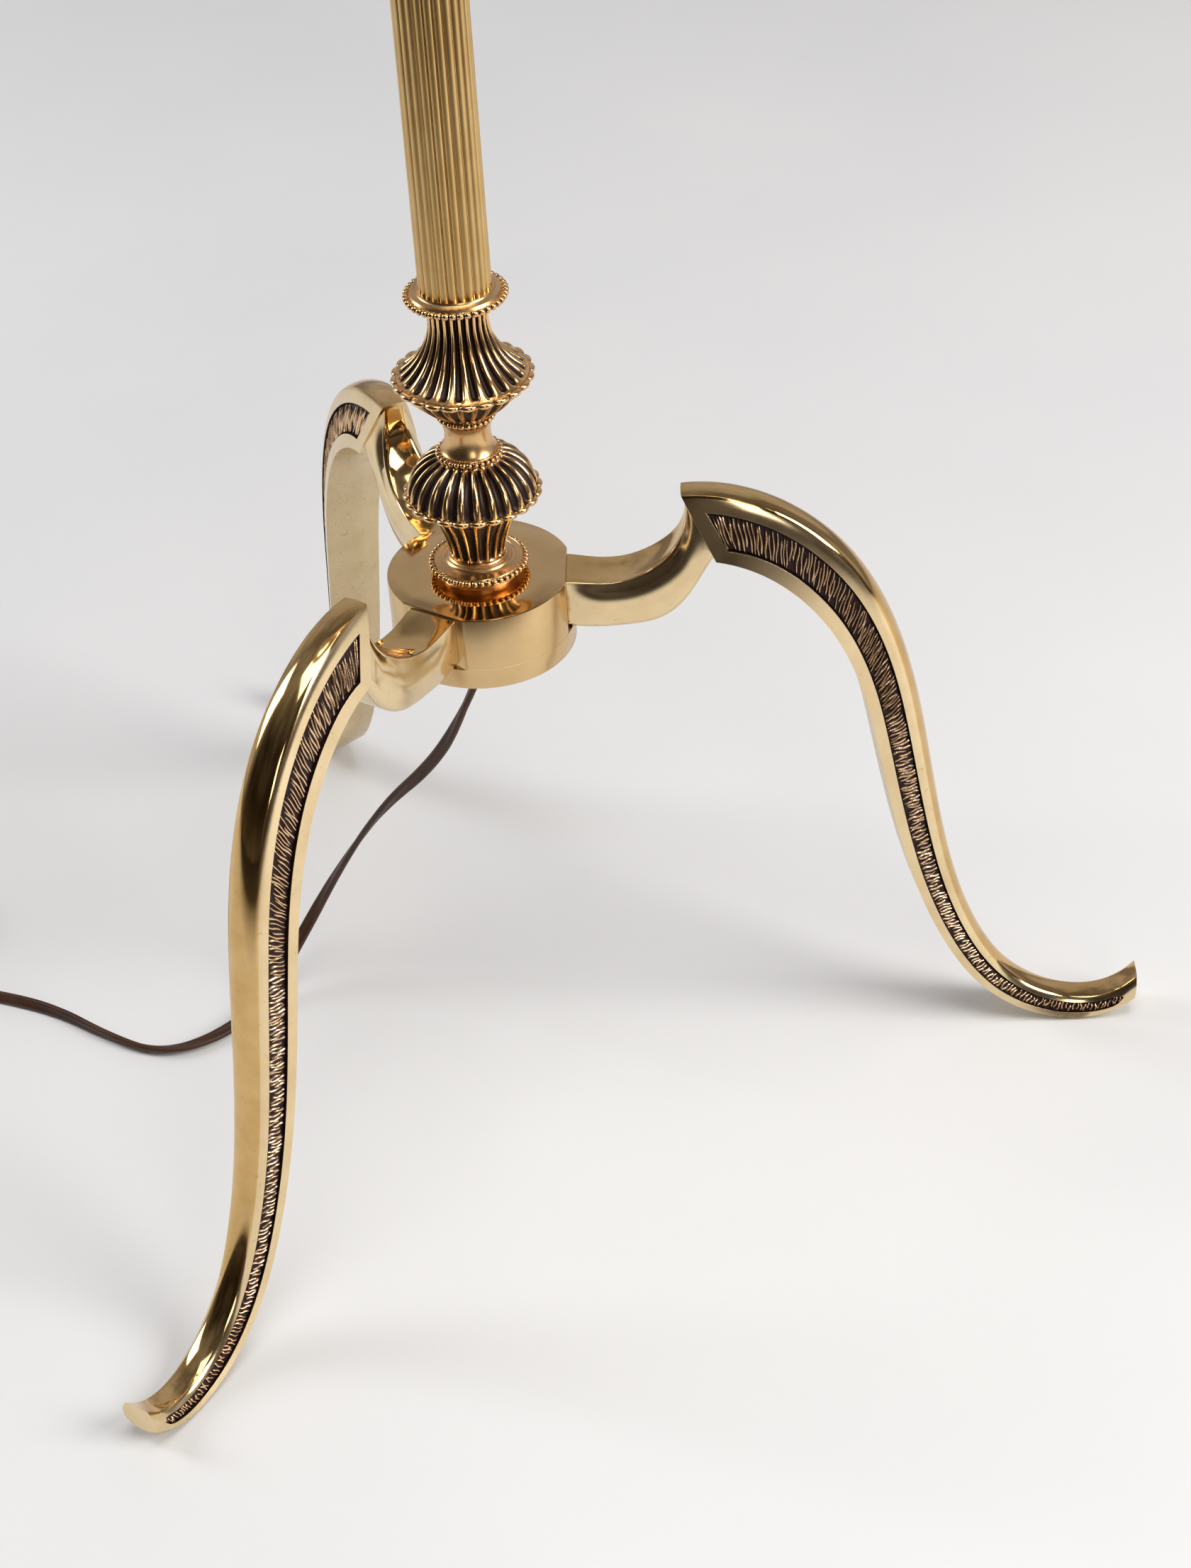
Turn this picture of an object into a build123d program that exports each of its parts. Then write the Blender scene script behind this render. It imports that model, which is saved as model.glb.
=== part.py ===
from build123d import *
import math
import os

os.makedirs("parts", exist_ok=True)

# Tripod floor lamp in brass: three cast legs on a round hub, a stack of turned and
# fluted pieces on a threaded pipe, a reeded column, and a socket, harp and shade.
# Millimetres. +Z is up, the origin is on the floor on the column's axis, and the
# first leg points along +X.

# ---------------------------------------------------------------- driving dimensions
COLUMN_R = 14.3
COLUMN_BOTTOM = 380.0
COLUMN_TOP = 1150.0
REED_COUNT = 24

PIPE_R = 5.1
PIPE_BORE_R = 3.5
PIPE_BOTTOM = 232.0
PIPE_TOP = 1214.0
STACK_BORE_R = 5.3

HUB_R = 38.2
HUB_BOTTOM = 216.4
HUB_TOP = 250.0
HUB_FLAT = 35.5
CAVITY_R = 24.0
CAVITY_TOP = 243.0

ARM_HALF_WIDTH = 11.0
ARM_TOP = 248.8
ARM_BOTTOM = 225.8
LEG_ANGLES = {"leg_right": 0, "leg_back": 116.5, "leg_front_left": 240}

BOLT_R = 4.0
BOLT_HEAD_R = 6.5
BOLT_Z = 235.0

CORD_R = 2.8
RUNNING = 0.05

SOCKET_SEAT = 1207.6
SHELL_R = 17.2
STUD_R = 3.175
HARP_TOP = 1428.0
SHADE_TOP_R = 114.0
SHADE_BOTTOM_R = 203.0
SHADE_BOTTOM = 1182.0
SHADE_TOP = 1437.0


def save(piece, name):
    """Label a finished piece and write its STEP file."""
    piece.part.label = name
    export_step(piece.part, f"parts/{name}.step")


# ---------------------------------------------------------------- hub
with BuildPart() as hub:
    with BuildSketch(Plane.XY.offset(HUB_BOTTOM)):
        Circle(HUB_R)
    extrude(amount=HUB_TOP - HUB_BOTTOM)
    chamfer(hub.edges().filter_by(GeomType.CIRCLE), 0.5)
    # pocket for each leg's arm: a flat wall and a ledge
    for angle in LEG_ANGLES.values():
        with BuildSketch(Plane.XY.offset(ARM_BOTTOM)):
            with Locations(Rotation(0, 0, angle)):
                with Locations((HUB_FLAT + 10, 0)):
                    Rectangle(20, 2 * HUB_R)
        extrude(amount=HUB_TOP - ARM_BOTTOM + 1, mode=Mode.SUBTRACT)
    # cavity open underneath, and the bore for the pipe
    with BuildSketch(Plane.XY.offset(HUB_BOTTOM)):
        Circle(CAVITY_R)
    extrude(amount=CAVITY_TOP - HUB_BOTTOM, mode=Mode.SUBTRACT)
    with BuildSketch(Plane.XY.offset(CAVITY_TOP)):
        Circle(STACK_BORE_R)
    extrude(amount=HUB_TOP - CAVITY_TOP, mode=Mode.SUBTRACT)
    # a spot-faced clearance hole for each leg's bolt
    for angle in LEG_ANGLES.values():
        with BuildSketch(Plane.YZ.rotated((0, 0, angle)).offset(15)):
            with Locations((0, BOLT_Z)):
                Circle(BOLT_HEAD_R + 0.4)
        extrude(amount=11, mode=Mode.SUBTRACT)
        with BuildSketch(Plane.YZ.rotated((0, 0, angle)).offset(20)):
            with Locations((0, BOLT_Z)):
                Circle(BOLT_R + 0.2)
        extrude(amount=20, mode=Mode.SUBTRACT)
save(hub, "hub")


# ---------------------------------------------------------------- legs
# In its own upright plane a leg runs out along r and up along z. The outer line is
# the crest of its narrow outer face, and the lower line is the outer edge of its rear.
# A station counts the given points of both lines: 0 at the horn, 9 at the toe.
OUTER_LINE = [(83.5, 285.0), (117.2, 279.4), (150.4, 253.6), (172.8, 209.0), (183.8, 158.4),
              (193.6, 101.0), (208.6, 52.0), (231.5, 20.0), (258.4, 9.8), (282.0, 22.0)]
LOWER_LINE = [(97.0, 258.0), (117.8, 249.6), (141.8, 225.0), (157.5, 188.0), (164.3, 156.4),
              (176.6, 99.0), (193.6, 52.0), (221.6, 14.0), (256.2, 1.2), (281.5, 10.0)]
LEG_STATIONS = 15
OUTER_HALF_WIDTH = 5.5
TOE_STATION = 9.0


def leg_point(line, station):
    """A point of a leg's side line at a station: 0 at the horn, 9 at the toe."""
    curve = Spline(*line)
    places = [curve.param_at_point(Vector(*p)) for p in line]
    low = min(int(station), len(line) - 2)
    part_way = station - low
    return curve.position_at(places[low] + (places[low + 1] - places[low]) * part_way)


def lower_half_width(station):
    """Half the rear's width: widest at the shoulder, narrow at the toe."""
    return 13.6 - 4.6 * (station / TOE_STATION) ** 2


def keel_depth(station):
    """How far the rear's middle crease stands out behind its two edges."""
    return 3.6 - 2.0 * station / TOE_STATION


def leg_section(station):
    """The kite-shaped face across a leg: narrow outside, two sides, a keeled rear."""
    outer = leg_point(OUTER_LINE, station)
    lower = leg_point(LOWER_LINE, station)
    inward = (lower - outer).normalized()
    keel = lower + inward * keel_depth(station)
    wide = lower_half_width(station)
    return Polyline(
        (outer.X, -OUTER_HALF_WIDTH, outer.Y),
        (outer.X, OUTER_HALF_WIDTH, outer.Y),
        (lower.X, wide, lower.Y),
        (keel.X, 0, keel.Y),
        (lower.X, -wide, lower.Y),
        close=True,
    )


# the arm: top and bottom of its side at each place, and the half-widths there
ARM_STEPS = [
    ((HUB_FLAT, ARM_TOP), (HUB_FLAT, ARM_BOTTOM), ARM_HALF_WIDTH, ARM_HALF_WIDTH),
    ((52.0, 248.4), (52.0, 225.0), ARM_HALF_WIDTH, ARM_HALF_WIDTH),
    ((68.0, 251.2), (71.0, 226.6), 10.8, 11.0),
    ((77.5, 258.6), (86.0, 235.0), 10.0, 11.0),
    ((82.0, 270.0), (93.5, 246.5), 8.2, 11.0),
    ((85.0, 284.2), (98.0, 259.0), 5.2, 10.6),
]
ARM_BEVEL = 3.0


def arm_section(top, bottom, top_half, bottom_half):
    """The six-sided face across an arm: flat top, upright sides, a bevelled underside."""
    top, bottom = Vector(top[0], 0, top[1]), Vector(bottom[0], 0, bottom[1])
    bevel = bottom + (top - bottom).normalized() * ARM_BEVEL
    across = Vector(0, 1, 0)
    return Polyline(
        top - across * top_half,
        top + across * top_half,
        bevel + across * bottom_half,
        bottom + across * (bottom_half - ARM_BEVEL),
        bottom - across * (bottom_half - ARM_BEVEL),
        bevel - across * bottom_half,
        close=True,
    )


leg_places = [TOE_STATION * i / (LEG_STATIONS - 1) for i in range(LEG_STATIONS)]
leg_body = loft([make_face(leg_section(station)) for station in leg_places])
arm_body = loft([make_face(arm_section(*step)) for step in ARM_STEPS])

for leg_name, angle in LEG_ANGLES.items():
    with BuildPart() as leg:
        add(leg_body)
        add(arm_body)
        # a flat ground on the underside of the toe, at the floor
        with BuildSketch(Plane.XY):
            with Locations((250, 0)):
                Rectangle(100, 60)
        extrude(amount=-5, mode=Mode.SUBTRACT)
        # tapped hole for the bolt
        with BuildSketch(Plane.YZ.offset(HUB_FLAT)):
            with Locations((0, BOLT_Z)):
                Circle(BOLT_R + RUNNING)
        extrude(amount=20, mode=Mode.SUBTRACT)
    leg.part = leg.part.rotate(Axis.Z, angle)
    save(leg, leg_name)


# ---------------------------------------------------------------- leg bolts
BOLT_HEAD_SEAT = 26.0
with BuildPart() as leg_bolts:
    for angle in LEG_ANGLES.values():
        outward = Plane.YZ.rotated((0, 0, angle))
        with BuildSketch(outward.offset(BOLT_HEAD_SEAT)):
            with Locations((0, BOLT_Z)):
                Circle(BOLT_R)
        extrude(amount=28)
        with BuildSketch(outward.offset(BOLT_HEAD_SEAT - 8)):
            with Locations((0, BOLT_Z)):
                Circle(BOLT_HEAD_R)
                RegularPolygon(3.2, 6, major_radius=False, mode=Mode.SUBTRACT)
        extrude(amount=4)
        with BuildSketch(outward.offset(BOLT_HEAD_SEAT - 4)):
            with Locations((0, BOLT_Z)):
                Circle(BOLT_HEAD_R)
        extrude(amount=4)
save(leg_bolts, "leg_bolts")


# ---------------------------------------------------------------- turned stack on the hub
# Every turned piece is a half outline of radius and height, revolved about the pipe.
PLATE_TOP = 259.4
DOME_FOOT = 283.0
SPOOL_FOOT = 305.2
CUP_FOOT = 324.8
BELL_FOOT = 339.4
COLLAR_FOOT = 374.2

with BuildPart() as base_plate:
    with BuildSketch(Plane.XZ):
        with BuildLine():
            Polyline(
                (STACK_BORE_R, PLATE_TOP),
                (STACK_BORE_R, HUB_TOP),
                (16.6, HUB_TOP),
                (15.4, 252.4),
                (18.4, 254.2),
            )
            ThreePointArc((18.4, 254.2), (20.2, 255.4), (18.4, 256.6))
            Polyline(
                (18.4, 256.6),
                (13.6, 258.0),
                (12.8, 258.4),
                (12.8, PLATE_TOP),
                (STACK_BORE_R, PLATE_TOP),
            )
        make_face()
    revolve(axis=Axis.Z)
save(base_plate, "base_plate")

with BuildPart() as stem:
    with BuildSketch(Plane.XZ):
        with BuildLine():
            Polyline(
                (19.5, DOME_FOOT),
                (STACK_BORE_R, DOME_FOOT),
                (STACK_BORE_R, PLATE_TOP),
                (11.3, PLATE_TOP),
            )
            ThreePointArc((11.3, PLATE_TOP), (13.6, 270.0), (19.5, DOME_FOOT))
        make_face()
    revolve(axis=Axis.Z)
save(stem, "stem")

with BuildPart() as dome:
    with BuildSketch(Plane.XZ):
        with BuildLine():
            Polyline(
                (12.6, SPOOL_FOOT),
                (STACK_BORE_R, SPOOL_FOOT),
                (STACK_BORE_R, DOME_FOOT),
                (19.5, DOME_FOOT),
                (27.0, 287.4),
            )
            ThreePointArc((27.0, 287.4), (28.2, 288.8), (27.0, 290.2))
            ThreePointArc((27.0, 290.2), (22.2, 300.2), (12.6, SPOOL_FOOT))
        make_face()
    revolve(axis=Axis.Z)
save(dome, "dome")

with BuildPart() as spool:
    with BuildSketch(Plane.XZ):
        with BuildLine():
            Polyline(
                (10.9, CUP_FOOT),
                (STACK_BORE_R, CUP_FOOT),
                (STACK_BORE_R, SPOOL_FOOT),
                (12.3, SPOOL_FOOT),
            )
            ThreePointArc((12.3, SPOOL_FOOT), (13.4, 306.5), (12.3, 307.8))
            Line((12.3, 307.8), (11.4, 308.4))
            ThreePointArc((11.4, 308.4), (9.3, 314.6), (10.9, 322.2))
            ThreePointArc((10.9, 322.2), (12.0, 323.5), (10.9, CUP_FOOT))
        make_face()
    revolve(axis=Axis.Z)
save(spool, "spool")

with BuildPart() as cup:
    with BuildSketch(Plane.XZ):
        with BuildLine():
            Polyline(
                (25.6, BELL_FOOT),
                (STACK_BORE_R, BELL_FOOT),
                (STACK_BORE_R, CUP_FOOT),
                (10.9, CUP_FOOT),
            )
            ThreePointArc((10.9, CUP_FOOT), (18.0, 330.6), (25.6, BELL_FOOT))
        make_face()
    revolve(axis=Axis.Z)
save(cup, "cup")

with BuildPart() as bell:
    with BuildSketch(Plane.XZ):
        with BuildLine():
            Polyline(
                (12.0, 366.0),
                (12.0, COLLAR_FOOT),
                (STACK_BORE_R, COLLAR_FOOT),
                (STACK_BORE_R, BELL_FOOT),
                (27.0, BELL_FOOT),
            )
            ThreePointArc((27.0, BELL_FOOT), (28.3, 341.0), (27.0, 342.6))
            ThreePointArc((27.0, 342.6), (17.2, 350.6), (12.0, 366.0))
        make_face()
    revolve(axis=Axis.Z)
save(bell, "bell")

with BuildPart() as lower_collar:
    with BuildSketch(Plane.XZ):
        with BuildLine():
            Polyline(
                (STACK_BORE_R, COLUMN_BOTTOM),
                (STACK_BORE_R, COLLAR_FOOT),
                (16.0, COLLAR_FOOT),
                (18.6, 375.4),
            )
            ThreePointArc((18.6, 375.4), (20.4, 376.6), (18.6, 377.8))
            Polyline(
                (18.6, 377.8),
                (17.6, 378.6),
                (15.6, 379.2),
                (15.2, COLUMN_BOTTOM),
                (STACK_BORE_R, COLUMN_BOTTOM),
            )
        make_face()
    revolve(axis=Axis.Z)
save(lower_collar, "lower_collar")


# ---------------------------------------------------------------- column
REED_R = math.pi * COLUMN_R / REED_COUNT
COLUMN_BORE_R = 12.2
with BuildPart() as column:
    with BuildSketch(Plane.XY.offset(COLUMN_BOTTOM)):
        Circle(COLUMN_R - 0.9)
        with PolarLocations(COLUMN_R - REED_R, REED_COUNT):
            Circle(REED_R)
        Circle(COLUMN_BORE_R, mode=Mode.SUBTRACT)
    extrude(amount=COLUMN_TOP - COLUMN_BOTTOM)
save(column, "column")

with BuildPart() as lamp_pipe:
    with BuildSketch(Plane.XY.offset(PIPE_BOTTOM)):
        Circle(PIPE_R)
        Circle(PIPE_BORE_R, mode=Mode.SUBTRACT)
    extrude(amount=PIPE_TOP - PIPE_BOTTOM)
save(lamp_pipe, "lamp_pipe")

with BuildPart() as hub_washer:
    with BuildSketch(Plane.XY.offset(CAVITY_TOP - 1.5)):
        Circle(11.0)
        Circle(STACK_BORE_R, mode=Mode.SUBTRACT)
    extrude(amount=1.5)
save(hub_washer, "hub_washer")

with BuildPart() as hub_nut:
    with BuildSketch(Plane.XY.offset(CAVITY_TOP - 6.0)):
        RegularPolygon(7.9, 6, major_radius=False)
        Circle(PIPE_R + RUNNING, mode=Mode.SUBTRACT)
    extrude(amount=4.5)
save(hub_nut, "hub_nut")

# the disc that closes the hub underneath, with the cord's outlet in its middle
OUTLET_R = 4.05
COVER_THICKNESS = 2.0
with BuildPart() as hub_cover:
    with BuildSketch(Plane.XY.offset(HUB_BOTTOM)):
        Circle(CAVITY_R - 0.1)
        Circle(OUTLET_R, mode=Mode.SUBTRACT)
    extrude(amount=COVER_THICKNESS)
save(hub_cover, "hub_cover")


# ---------------------------------------------------------------- turned pieces at the top
VASE_FOOT = 1156.6
NECK_FOOT = 1190.0
SADDLE_FOOT = 1206.0

with BuildPart() as upper_collar:
    with BuildSketch(Plane.XZ):
        with BuildLine():
            Polyline(
                (STACK_BORE_R, VASE_FOOT),
                (STACK_BORE_R, COLUMN_TOP),
                (15.2, COLUMN_TOP),
                (15.6, 1151.0),
                (18.6, 1152.6),
            )
            ThreePointArc((18.6, 1152.6), (20.4, 1153.8), (18.6, 1155.0))
            Polyline((18.6, 1155.0), (14.0, VASE_FOOT), (STACK_BORE_R, VASE_FOOT))
        make_face()
    revolve(axis=Axis.Z)
save(upper_collar, "upper_collar")

with BuildPart() as vase:
    with BuildSketch(Plane.XZ):
        with BuildLine():
            Polyline(
                (10.0, NECK_FOOT),
                (STACK_BORE_R, NECK_FOOT),
                (STACK_BORE_R, VASE_FOOT),
                (11.0, VASE_FOOT),
            )
            ThreePointArc((11.0, VASE_FOOT), (13.0, 1166.0), (20.0, 1176.0))
            ThreePointArc((20.0, 1176.0), (21.2, 1177.4), (20.2, 1178.8))
            ThreePointArc((20.2, 1178.8), (17.2, 1185.6), (10.0, NECK_FOOT))
        make_face()
    revolve(axis=Axis.Z)
save(vase, "vase")

with BuildPart() as neck:
    with BuildSketch(Plane.XZ):
        with BuildLine():
            Polyline(
                (9.4, SADDLE_FOOT),
                (STACK_BORE_R, SADDLE_FOOT),
                (STACK_BORE_R, NECK_FOOT),
                (10.6, NECK_FOOT),
            )
            ThreePointArc((10.6, NECK_FOOT), (11.7, 1191.2), (10.6, 1192.4))
            ThreePointArc((10.6, 1192.4), (7.6, 1199.0), (9.4, 1204.0))
            ThreePointArc((9.4, 1204.0), (10.3, 1205.0), (9.4, SADDLE_FOOT))
        make_face()
    revolve(axis=Axis.Z)
save(neck, "neck")


# ---------------------------------------------------------------- harp and its saddle
SADDLE_THICKNESS = 1.6
SADDLE_HALF = 28.0
HARP_WIRE_R = 2.0
SLEEVE_R = 3.4
HARP_FOOT = SADDLE_FOOT + 11

with BuildPart() as harp_saddle:
    with BuildSketch(Plane.XZ.offset(-6)):
        with BuildLine():
            FilletPolyline(
                (-SADDLE_HALF, HARP_FOOT - 1),
                (-SADDLE_HALF, SADDLE_FOOT + 0.8),
                (SADDLE_HALF, SADDLE_FOOT + 0.8),
                (SADDLE_HALF, HARP_FOOT - 1),
                radius=4,
            )
            offset(amount=SADDLE_THICKNESS / 2)
        make_face()
    extrude(amount=12)
    with BuildSketch(Plane.XY.offset(SADDLE_FOOT - 1)):
        Circle(STACK_BORE_R)
    extrude(amount=4, mode=Mode.SUBTRACT)
save(harp_saddle, "harp_saddle")

with BuildPart() as harp:
    with BuildLine(Plane.XZ) as harp_line:
        FilletPolyline(
            (-SADDLE_HALF, HARP_FOOT),
            (-SADDLE_HALF, HARP_FOOT + 22),
            (-57, HARP_FOOT + 62),
            (-57, HARP_TOP - 60),
            (-30, HARP_TOP),
            (30, HARP_TOP),
            (57, HARP_TOP - 60),
            (57, HARP_FOOT + 62),
            (SADDLE_HALF, HARP_FOOT + 22),
            (SADDLE_HALF, HARP_FOOT),
            radius=18,
        )
    with BuildSketch(Plane.XY.offset(HARP_FOOT)):
        with Locations((-SADDLE_HALF, 0)):
            Circle(HARP_WIRE_R)
    sweep(path=harp_line.line)
save(harp, "harp")

with BuildPart() as harp_sleeves:
    with BuildSketch(Plane.XY.offset(HARP_FOOT + 0.5)):
        with Locations((-SADDLE_HALF, 0), (SADDLE_HALF, 0)):
            Circle(SLEEVE_R)
            Circle(HARP_WIRE_R + RUNNING, mode=Mode.SUBTRACT)
    extrude(amount=15)
save(harp_sleeves, "harp_sleeves")

CROWN_TOP = HARP_TOP + 6
with BuildPart() as harp_crown:
    with BuildSketch(Plane.XY.offset(HARP_TOP + HARP_WIRE_R)):
        Circle(7.0)
    extrude(amount=CROWN_TOP - HARP_TOP - HARP_WIRE_R)
    with BuildSketch(Plane.XY.offset(CROWN_TOP)):
        Circle(STUD_R)
    extrude(amount=17)
save(harp_crown, "harp_crown")


# ---------------------------------------------------------------- socket
SHELL_WALL = 0.5
SHELL_FOOT = 1222.0
SHELL_TOP = 1262.0
SCREW_BORE_R = 13.05
SWITCH_Z = 1240.0
SHAFT_R = 2.0

with BuildPart() as socket_cap:
    with BuildSketch(Plane.XZ):
        with BuildLine():
            Polyline((PIPE_R + RUNNING, SOCKET_SEAT), (8.5, SOCKET_SEAT), (8.5, 1211.0))
            ThreePointArc((8.5, 1211.0), (14.8, 1214.5), (SHELL_R - SHELL_WALL, 1221.0))
            Polyline(
                (SHELL_R - SHELL_WALL, 1221.0),
                (SHELL_R - SHELL_WALL, SHELL_FOOT + 3),
                (15.6, SHELL_FOOT + 3),
                (15.6, 1221.0),
            )
            ThreePointArc((15.6, 1221.0), (13.4, 1215.6), (7.6, 1212.6))
            Polyline((7.6, 1212.6), (PIPE_R + RUNNING, 1212.6), (PIPE_R + RUNNING, SOCKET_SEAT))
        make_face()
    revolve(axis=Axis.Z)
save(socket_cap, "socket_cap")

with BuildPart() as socket_shell:
    with BuildSketch(Plane.XY.offset(SHELL_FOOT)):
        Circle(SHELL_R)
        Circle(SHELL_R - SHELL_WALL, mode=Mode.SUBTRACT)
    extrude(amount=SHELL_TOP - SHELL_FOOT)
    with BuildSketch(Plane.XZ):
        with Locations((0, SWITCH_Z)):
            Circle(SHAFT_R + RUNNING)
    extrude(amount=20, mode=Mode.SUBTRACT)
save(socket_shell, "socket_shell")

with BuildPart() as socket_liner:
    with BuildSketch(Plane.XY.offset(SHELL_FOOT + 3.2)):
        Circle(SHELL_R - SHELL_WALL)
        Circle(15.9, mode=Mode.SUBTRACT)
    extrude(amount=SHELL_TOP - SHELL_FOOT - 3.6)
    with BuildSketch(Plane.XZ):
        with Locations((0, SWITCH_Z)):
            Circle(SHAFT_R + 0.5)
    extrude(amount=20, mode=Mode.SUBTRACT)
save(socket_liner, "socket_liner")

CORE_TOP = 1246.0
with BuildPart() as socket_core:
    with BuildSketch(Plane.XY.offset(1228.0)):
        Circle(15.8)
    extrude(amount=CORE_TOP - 1228.0)
    # the blind bore in which the switch's shaft turns
    with BuildSketch(Plane.XZ.offset(4)):
        with Locations((0, SWITCH_Z)):
            Circle(SHAFT_R + RUNNING)
    extrude(amount=14, mode=Mode.SUBTRACT)
save(socket_core, "socket_core")

with BuildPart() as screw_shell:
    with BuildSketch(Plane.XY.offset(CORE_TOP)):
        Circle(SCREW_BORE_R + 0.4)
        Circle(SCREW_BORE_R, mode=Mode.SUBTRACT)
    extrude(amount=15)
save(screw_shell, "screw_shell")

with BuildPart() as centre_contact:
    with BuildSketch(Plane.XY.offset(CORE_TOP)):
        Circle(3.0)
    extrude(amount=1.2)
save(centre_contact, "centre_contact")

with BuildPart() as switch_shaft:
    with BuildSketch(Plane.XZ.offset(5)):
        with Locations((0, SWITCH_Z)):
            Circle(SHAFT_R)
    extrude(amount=20)
save(switch_shaft, "switch_shaft")

with BuildPart() as switch_knob:
    with BuildSketch(Plane.XZ.offset(20)):
        with Locations((0, SWITCH_Z)):
            Circle(4.2)
            Circle(SHAFT_R, mode=Mode.SUBTRACT)
    extrude(amount=5)
    with BuildSketch(Plane.XZ.offset(25)):
        with Locations((0, SWITCH_Z)):
            SlotOverall(17, 6)
    extrude(amount=8)
save(switch_knob, "switch_knob")


# ---------------------------------------------------------------- bulb
with BuildPart() as bulb_base:
    with BuildSketch(Plane.XZ):
        with BuildLine():
            Polyline(
                (0, 1268.0),
                (0, 1247.6),
                (4.5, 1247.6),
                (5.5, 1250.0),
                (11.0, 1252.0),
                (13.0, 1253.4),
                (13.0, 1268.0),
                (0, 1268.0),
            )
        make_face()
    revolve(axis=Axis.Z)
save(bulb_base, "bulb_base")

with BuildPart() as bulb_glass:
    with BuildSketch(Plane.XZ):
        with BuildLine():
            Polyline((0, 1352.0), (0, 1268.0), (13.4, 1268.0))
            Spline(
                (13.4, 1268.0),
                (17.4, 1286.0),
                (28.2, 1311.8),
                (30.0, 1322.0),
                (21.2, 1343.2),
                (0, 1352.0),
                tangents=((0.05, 1), (-1, 0)),
            )
        make_face()
    revolve(axis=Axis.Z)
save(bulb_glass, "bulb_glass")


# ---------------------------------------------------------------- shade and finial
RING_R = 1.6
SPIDER_Z = CROWN_TOP + 1.0
SHADE_WALL = 0.9

with BuildPart() as shade_spider:
    with BuildSketch(Plane.XY.offset(CROWN_TOP + 0.05)):
        Circle(9.5)
    extrude(amount=1.9)
    for angle in (90, 210, 330):
        with BuildSketch(Plane.YZ.rotated((0, 0, angle)).offset(8.8)):
            with Locations((0, SPIDER_Z)):
                Circle(RING_R)
        extrude(amount=SHADE_TOP_R - 11.8)
    with BuildSketch(Plane.XZ):
        with Locations((SHADE_TOP_R - 3.0, SPIDER_Z)):
            Circle(RING_R)
    revolve(axis=Axis.Z)
    with BuildSketch(Plane.XY.offset(CROWN_TOP - 1)):
        Circle(STUD_R + RUNNING)
    extrude(amount=5, mode=Mode.SUBTRACT)
save(shade_spider, "shade_spider")

with BuildPart() as shade_bottom_ring:
    with BuildSketch(Plane.XZ):
        with Locations((SHADE_BOTTOM_R - 3.6, SHADE_BOTTOM + 2.4)):
            Circle(RING_R)
    revolve(axis=Axis.Z)
save(shade_bottom_ring, "shade_bottom_ring")

with BuildPart() as shade_cover:
    with BuildSketch(Plane.XZ):
        with BuildLine():
            Polyline(
                (SHADE_BOTTOM_R, SHADE_BOTTOM),
                (SHADE_TOP_R, SHADE_TOP),
                (SHADE_TOP_R - SHADE_WALL, SHADE_TOP),
                (SHADE_BOTTOM_R - SHADE_WALL, SHADE_BOTTOM),
                close=True,
            )
        make_face()
    revolve(axis=Axis.Z)
save(shade_cover, "shade_cover")

FINIAL_FOOT = CROWN_TOP + 2.1
with BuildPart() as finial:
    with BuildSketch(Plane.XZ):
        with BuildLine():
            Polyline(
                (0, FINIAL_FOOT),
                (8.0, FINIAL_FOOT),
                (8.0, FINIAL_FOOT + 2),
                (5.2, FINIAL_FOOT + 4),
            )
            ThreePointArc((5.2, FINIAL_FOOT + 4), (4.7, FINIAL_FOOT + 10), (5.4, FINIAL_FOOT + 16.3))
            ThreePointArc((5.4, FINIAL_FOOT + 16.3), (9.0, FINIAL_FOOT + 23.5), (2.2, FINIAL_FOOT + 32.2))
            Polyline(
                (2.2, FINIAL_FOOT + 32.2),
                (1.8, FINIAL_FOOT + 34.4),
                (0, FINIAL_FOOT + 35.6),
                (0, FINIAL_FOOT),
            )
        make_face()
    revolve(axis=Axis.Z)
    with BuildSketch(Plane.XY.offset(FINIAL_FOOT)):
        Circle(STUD_R + RUNNING)
    extrude(amount=16, mode=Mode.SUBTRACT)
save(finial, "finial")


# ---------------------------------------------------------------- cords
def corner_radii(route, share=0.45):
    """The arc at each corner of a route: a share of the shorter run, by the half turn."""
    radii = []
    for before, here, after in zip(route, route[1:], route[2:]):
        run_in, run_out = Vector(here) - Vector(before), Vector(after) - Vector(here)
        half_turn = math.radians(run_in.get_angle(run_out) / 2)
        radii.append(share * min(run_in.length, run_out.length) / math.tan(half_turn))
    return radii


def cord_tube(name, route):
    """A round tube along straight runs joined by tangent arcs, checked and saved."""
    radii = corner_radii(route)
    with BuildPart() as tube:
        with BuildLine() as path:
            FilletPolyline(*route, radius=radii)
        with BuildSketch(Plane(origin=route[0], z_dir=Vector(route[1]) - Vector(route[0]))):
            Circle(CORD_R)
        sweep(path=path.line)
    length = path.wire().length
    filled = tube.part.volume / (math.pi * CORD_R**2 * length)
    print(name, "length", round(length, 1), "filled", round(filled, 4), "radii", [round(r, 1) for r in radii])
    save(tube, name)


# inside the lamp it runs straight down the pipe to the outlet in the hub's cover
RELIEF_TOP = 219.4
RELIEF_END = (-4.5, 0.8, 196.0)
RELIEF_LEAN = (-0.36, 0.09, -0.93)
with BuildPart() as inner_cord:
    with BuildSketch(Plane.XY.offset(RELIEF_TOP)):
        Circle(CORD_R)
    extrude(amount=1227 - RELIEF_TOP)
save(inner_cord, "inner_cord")

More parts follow.
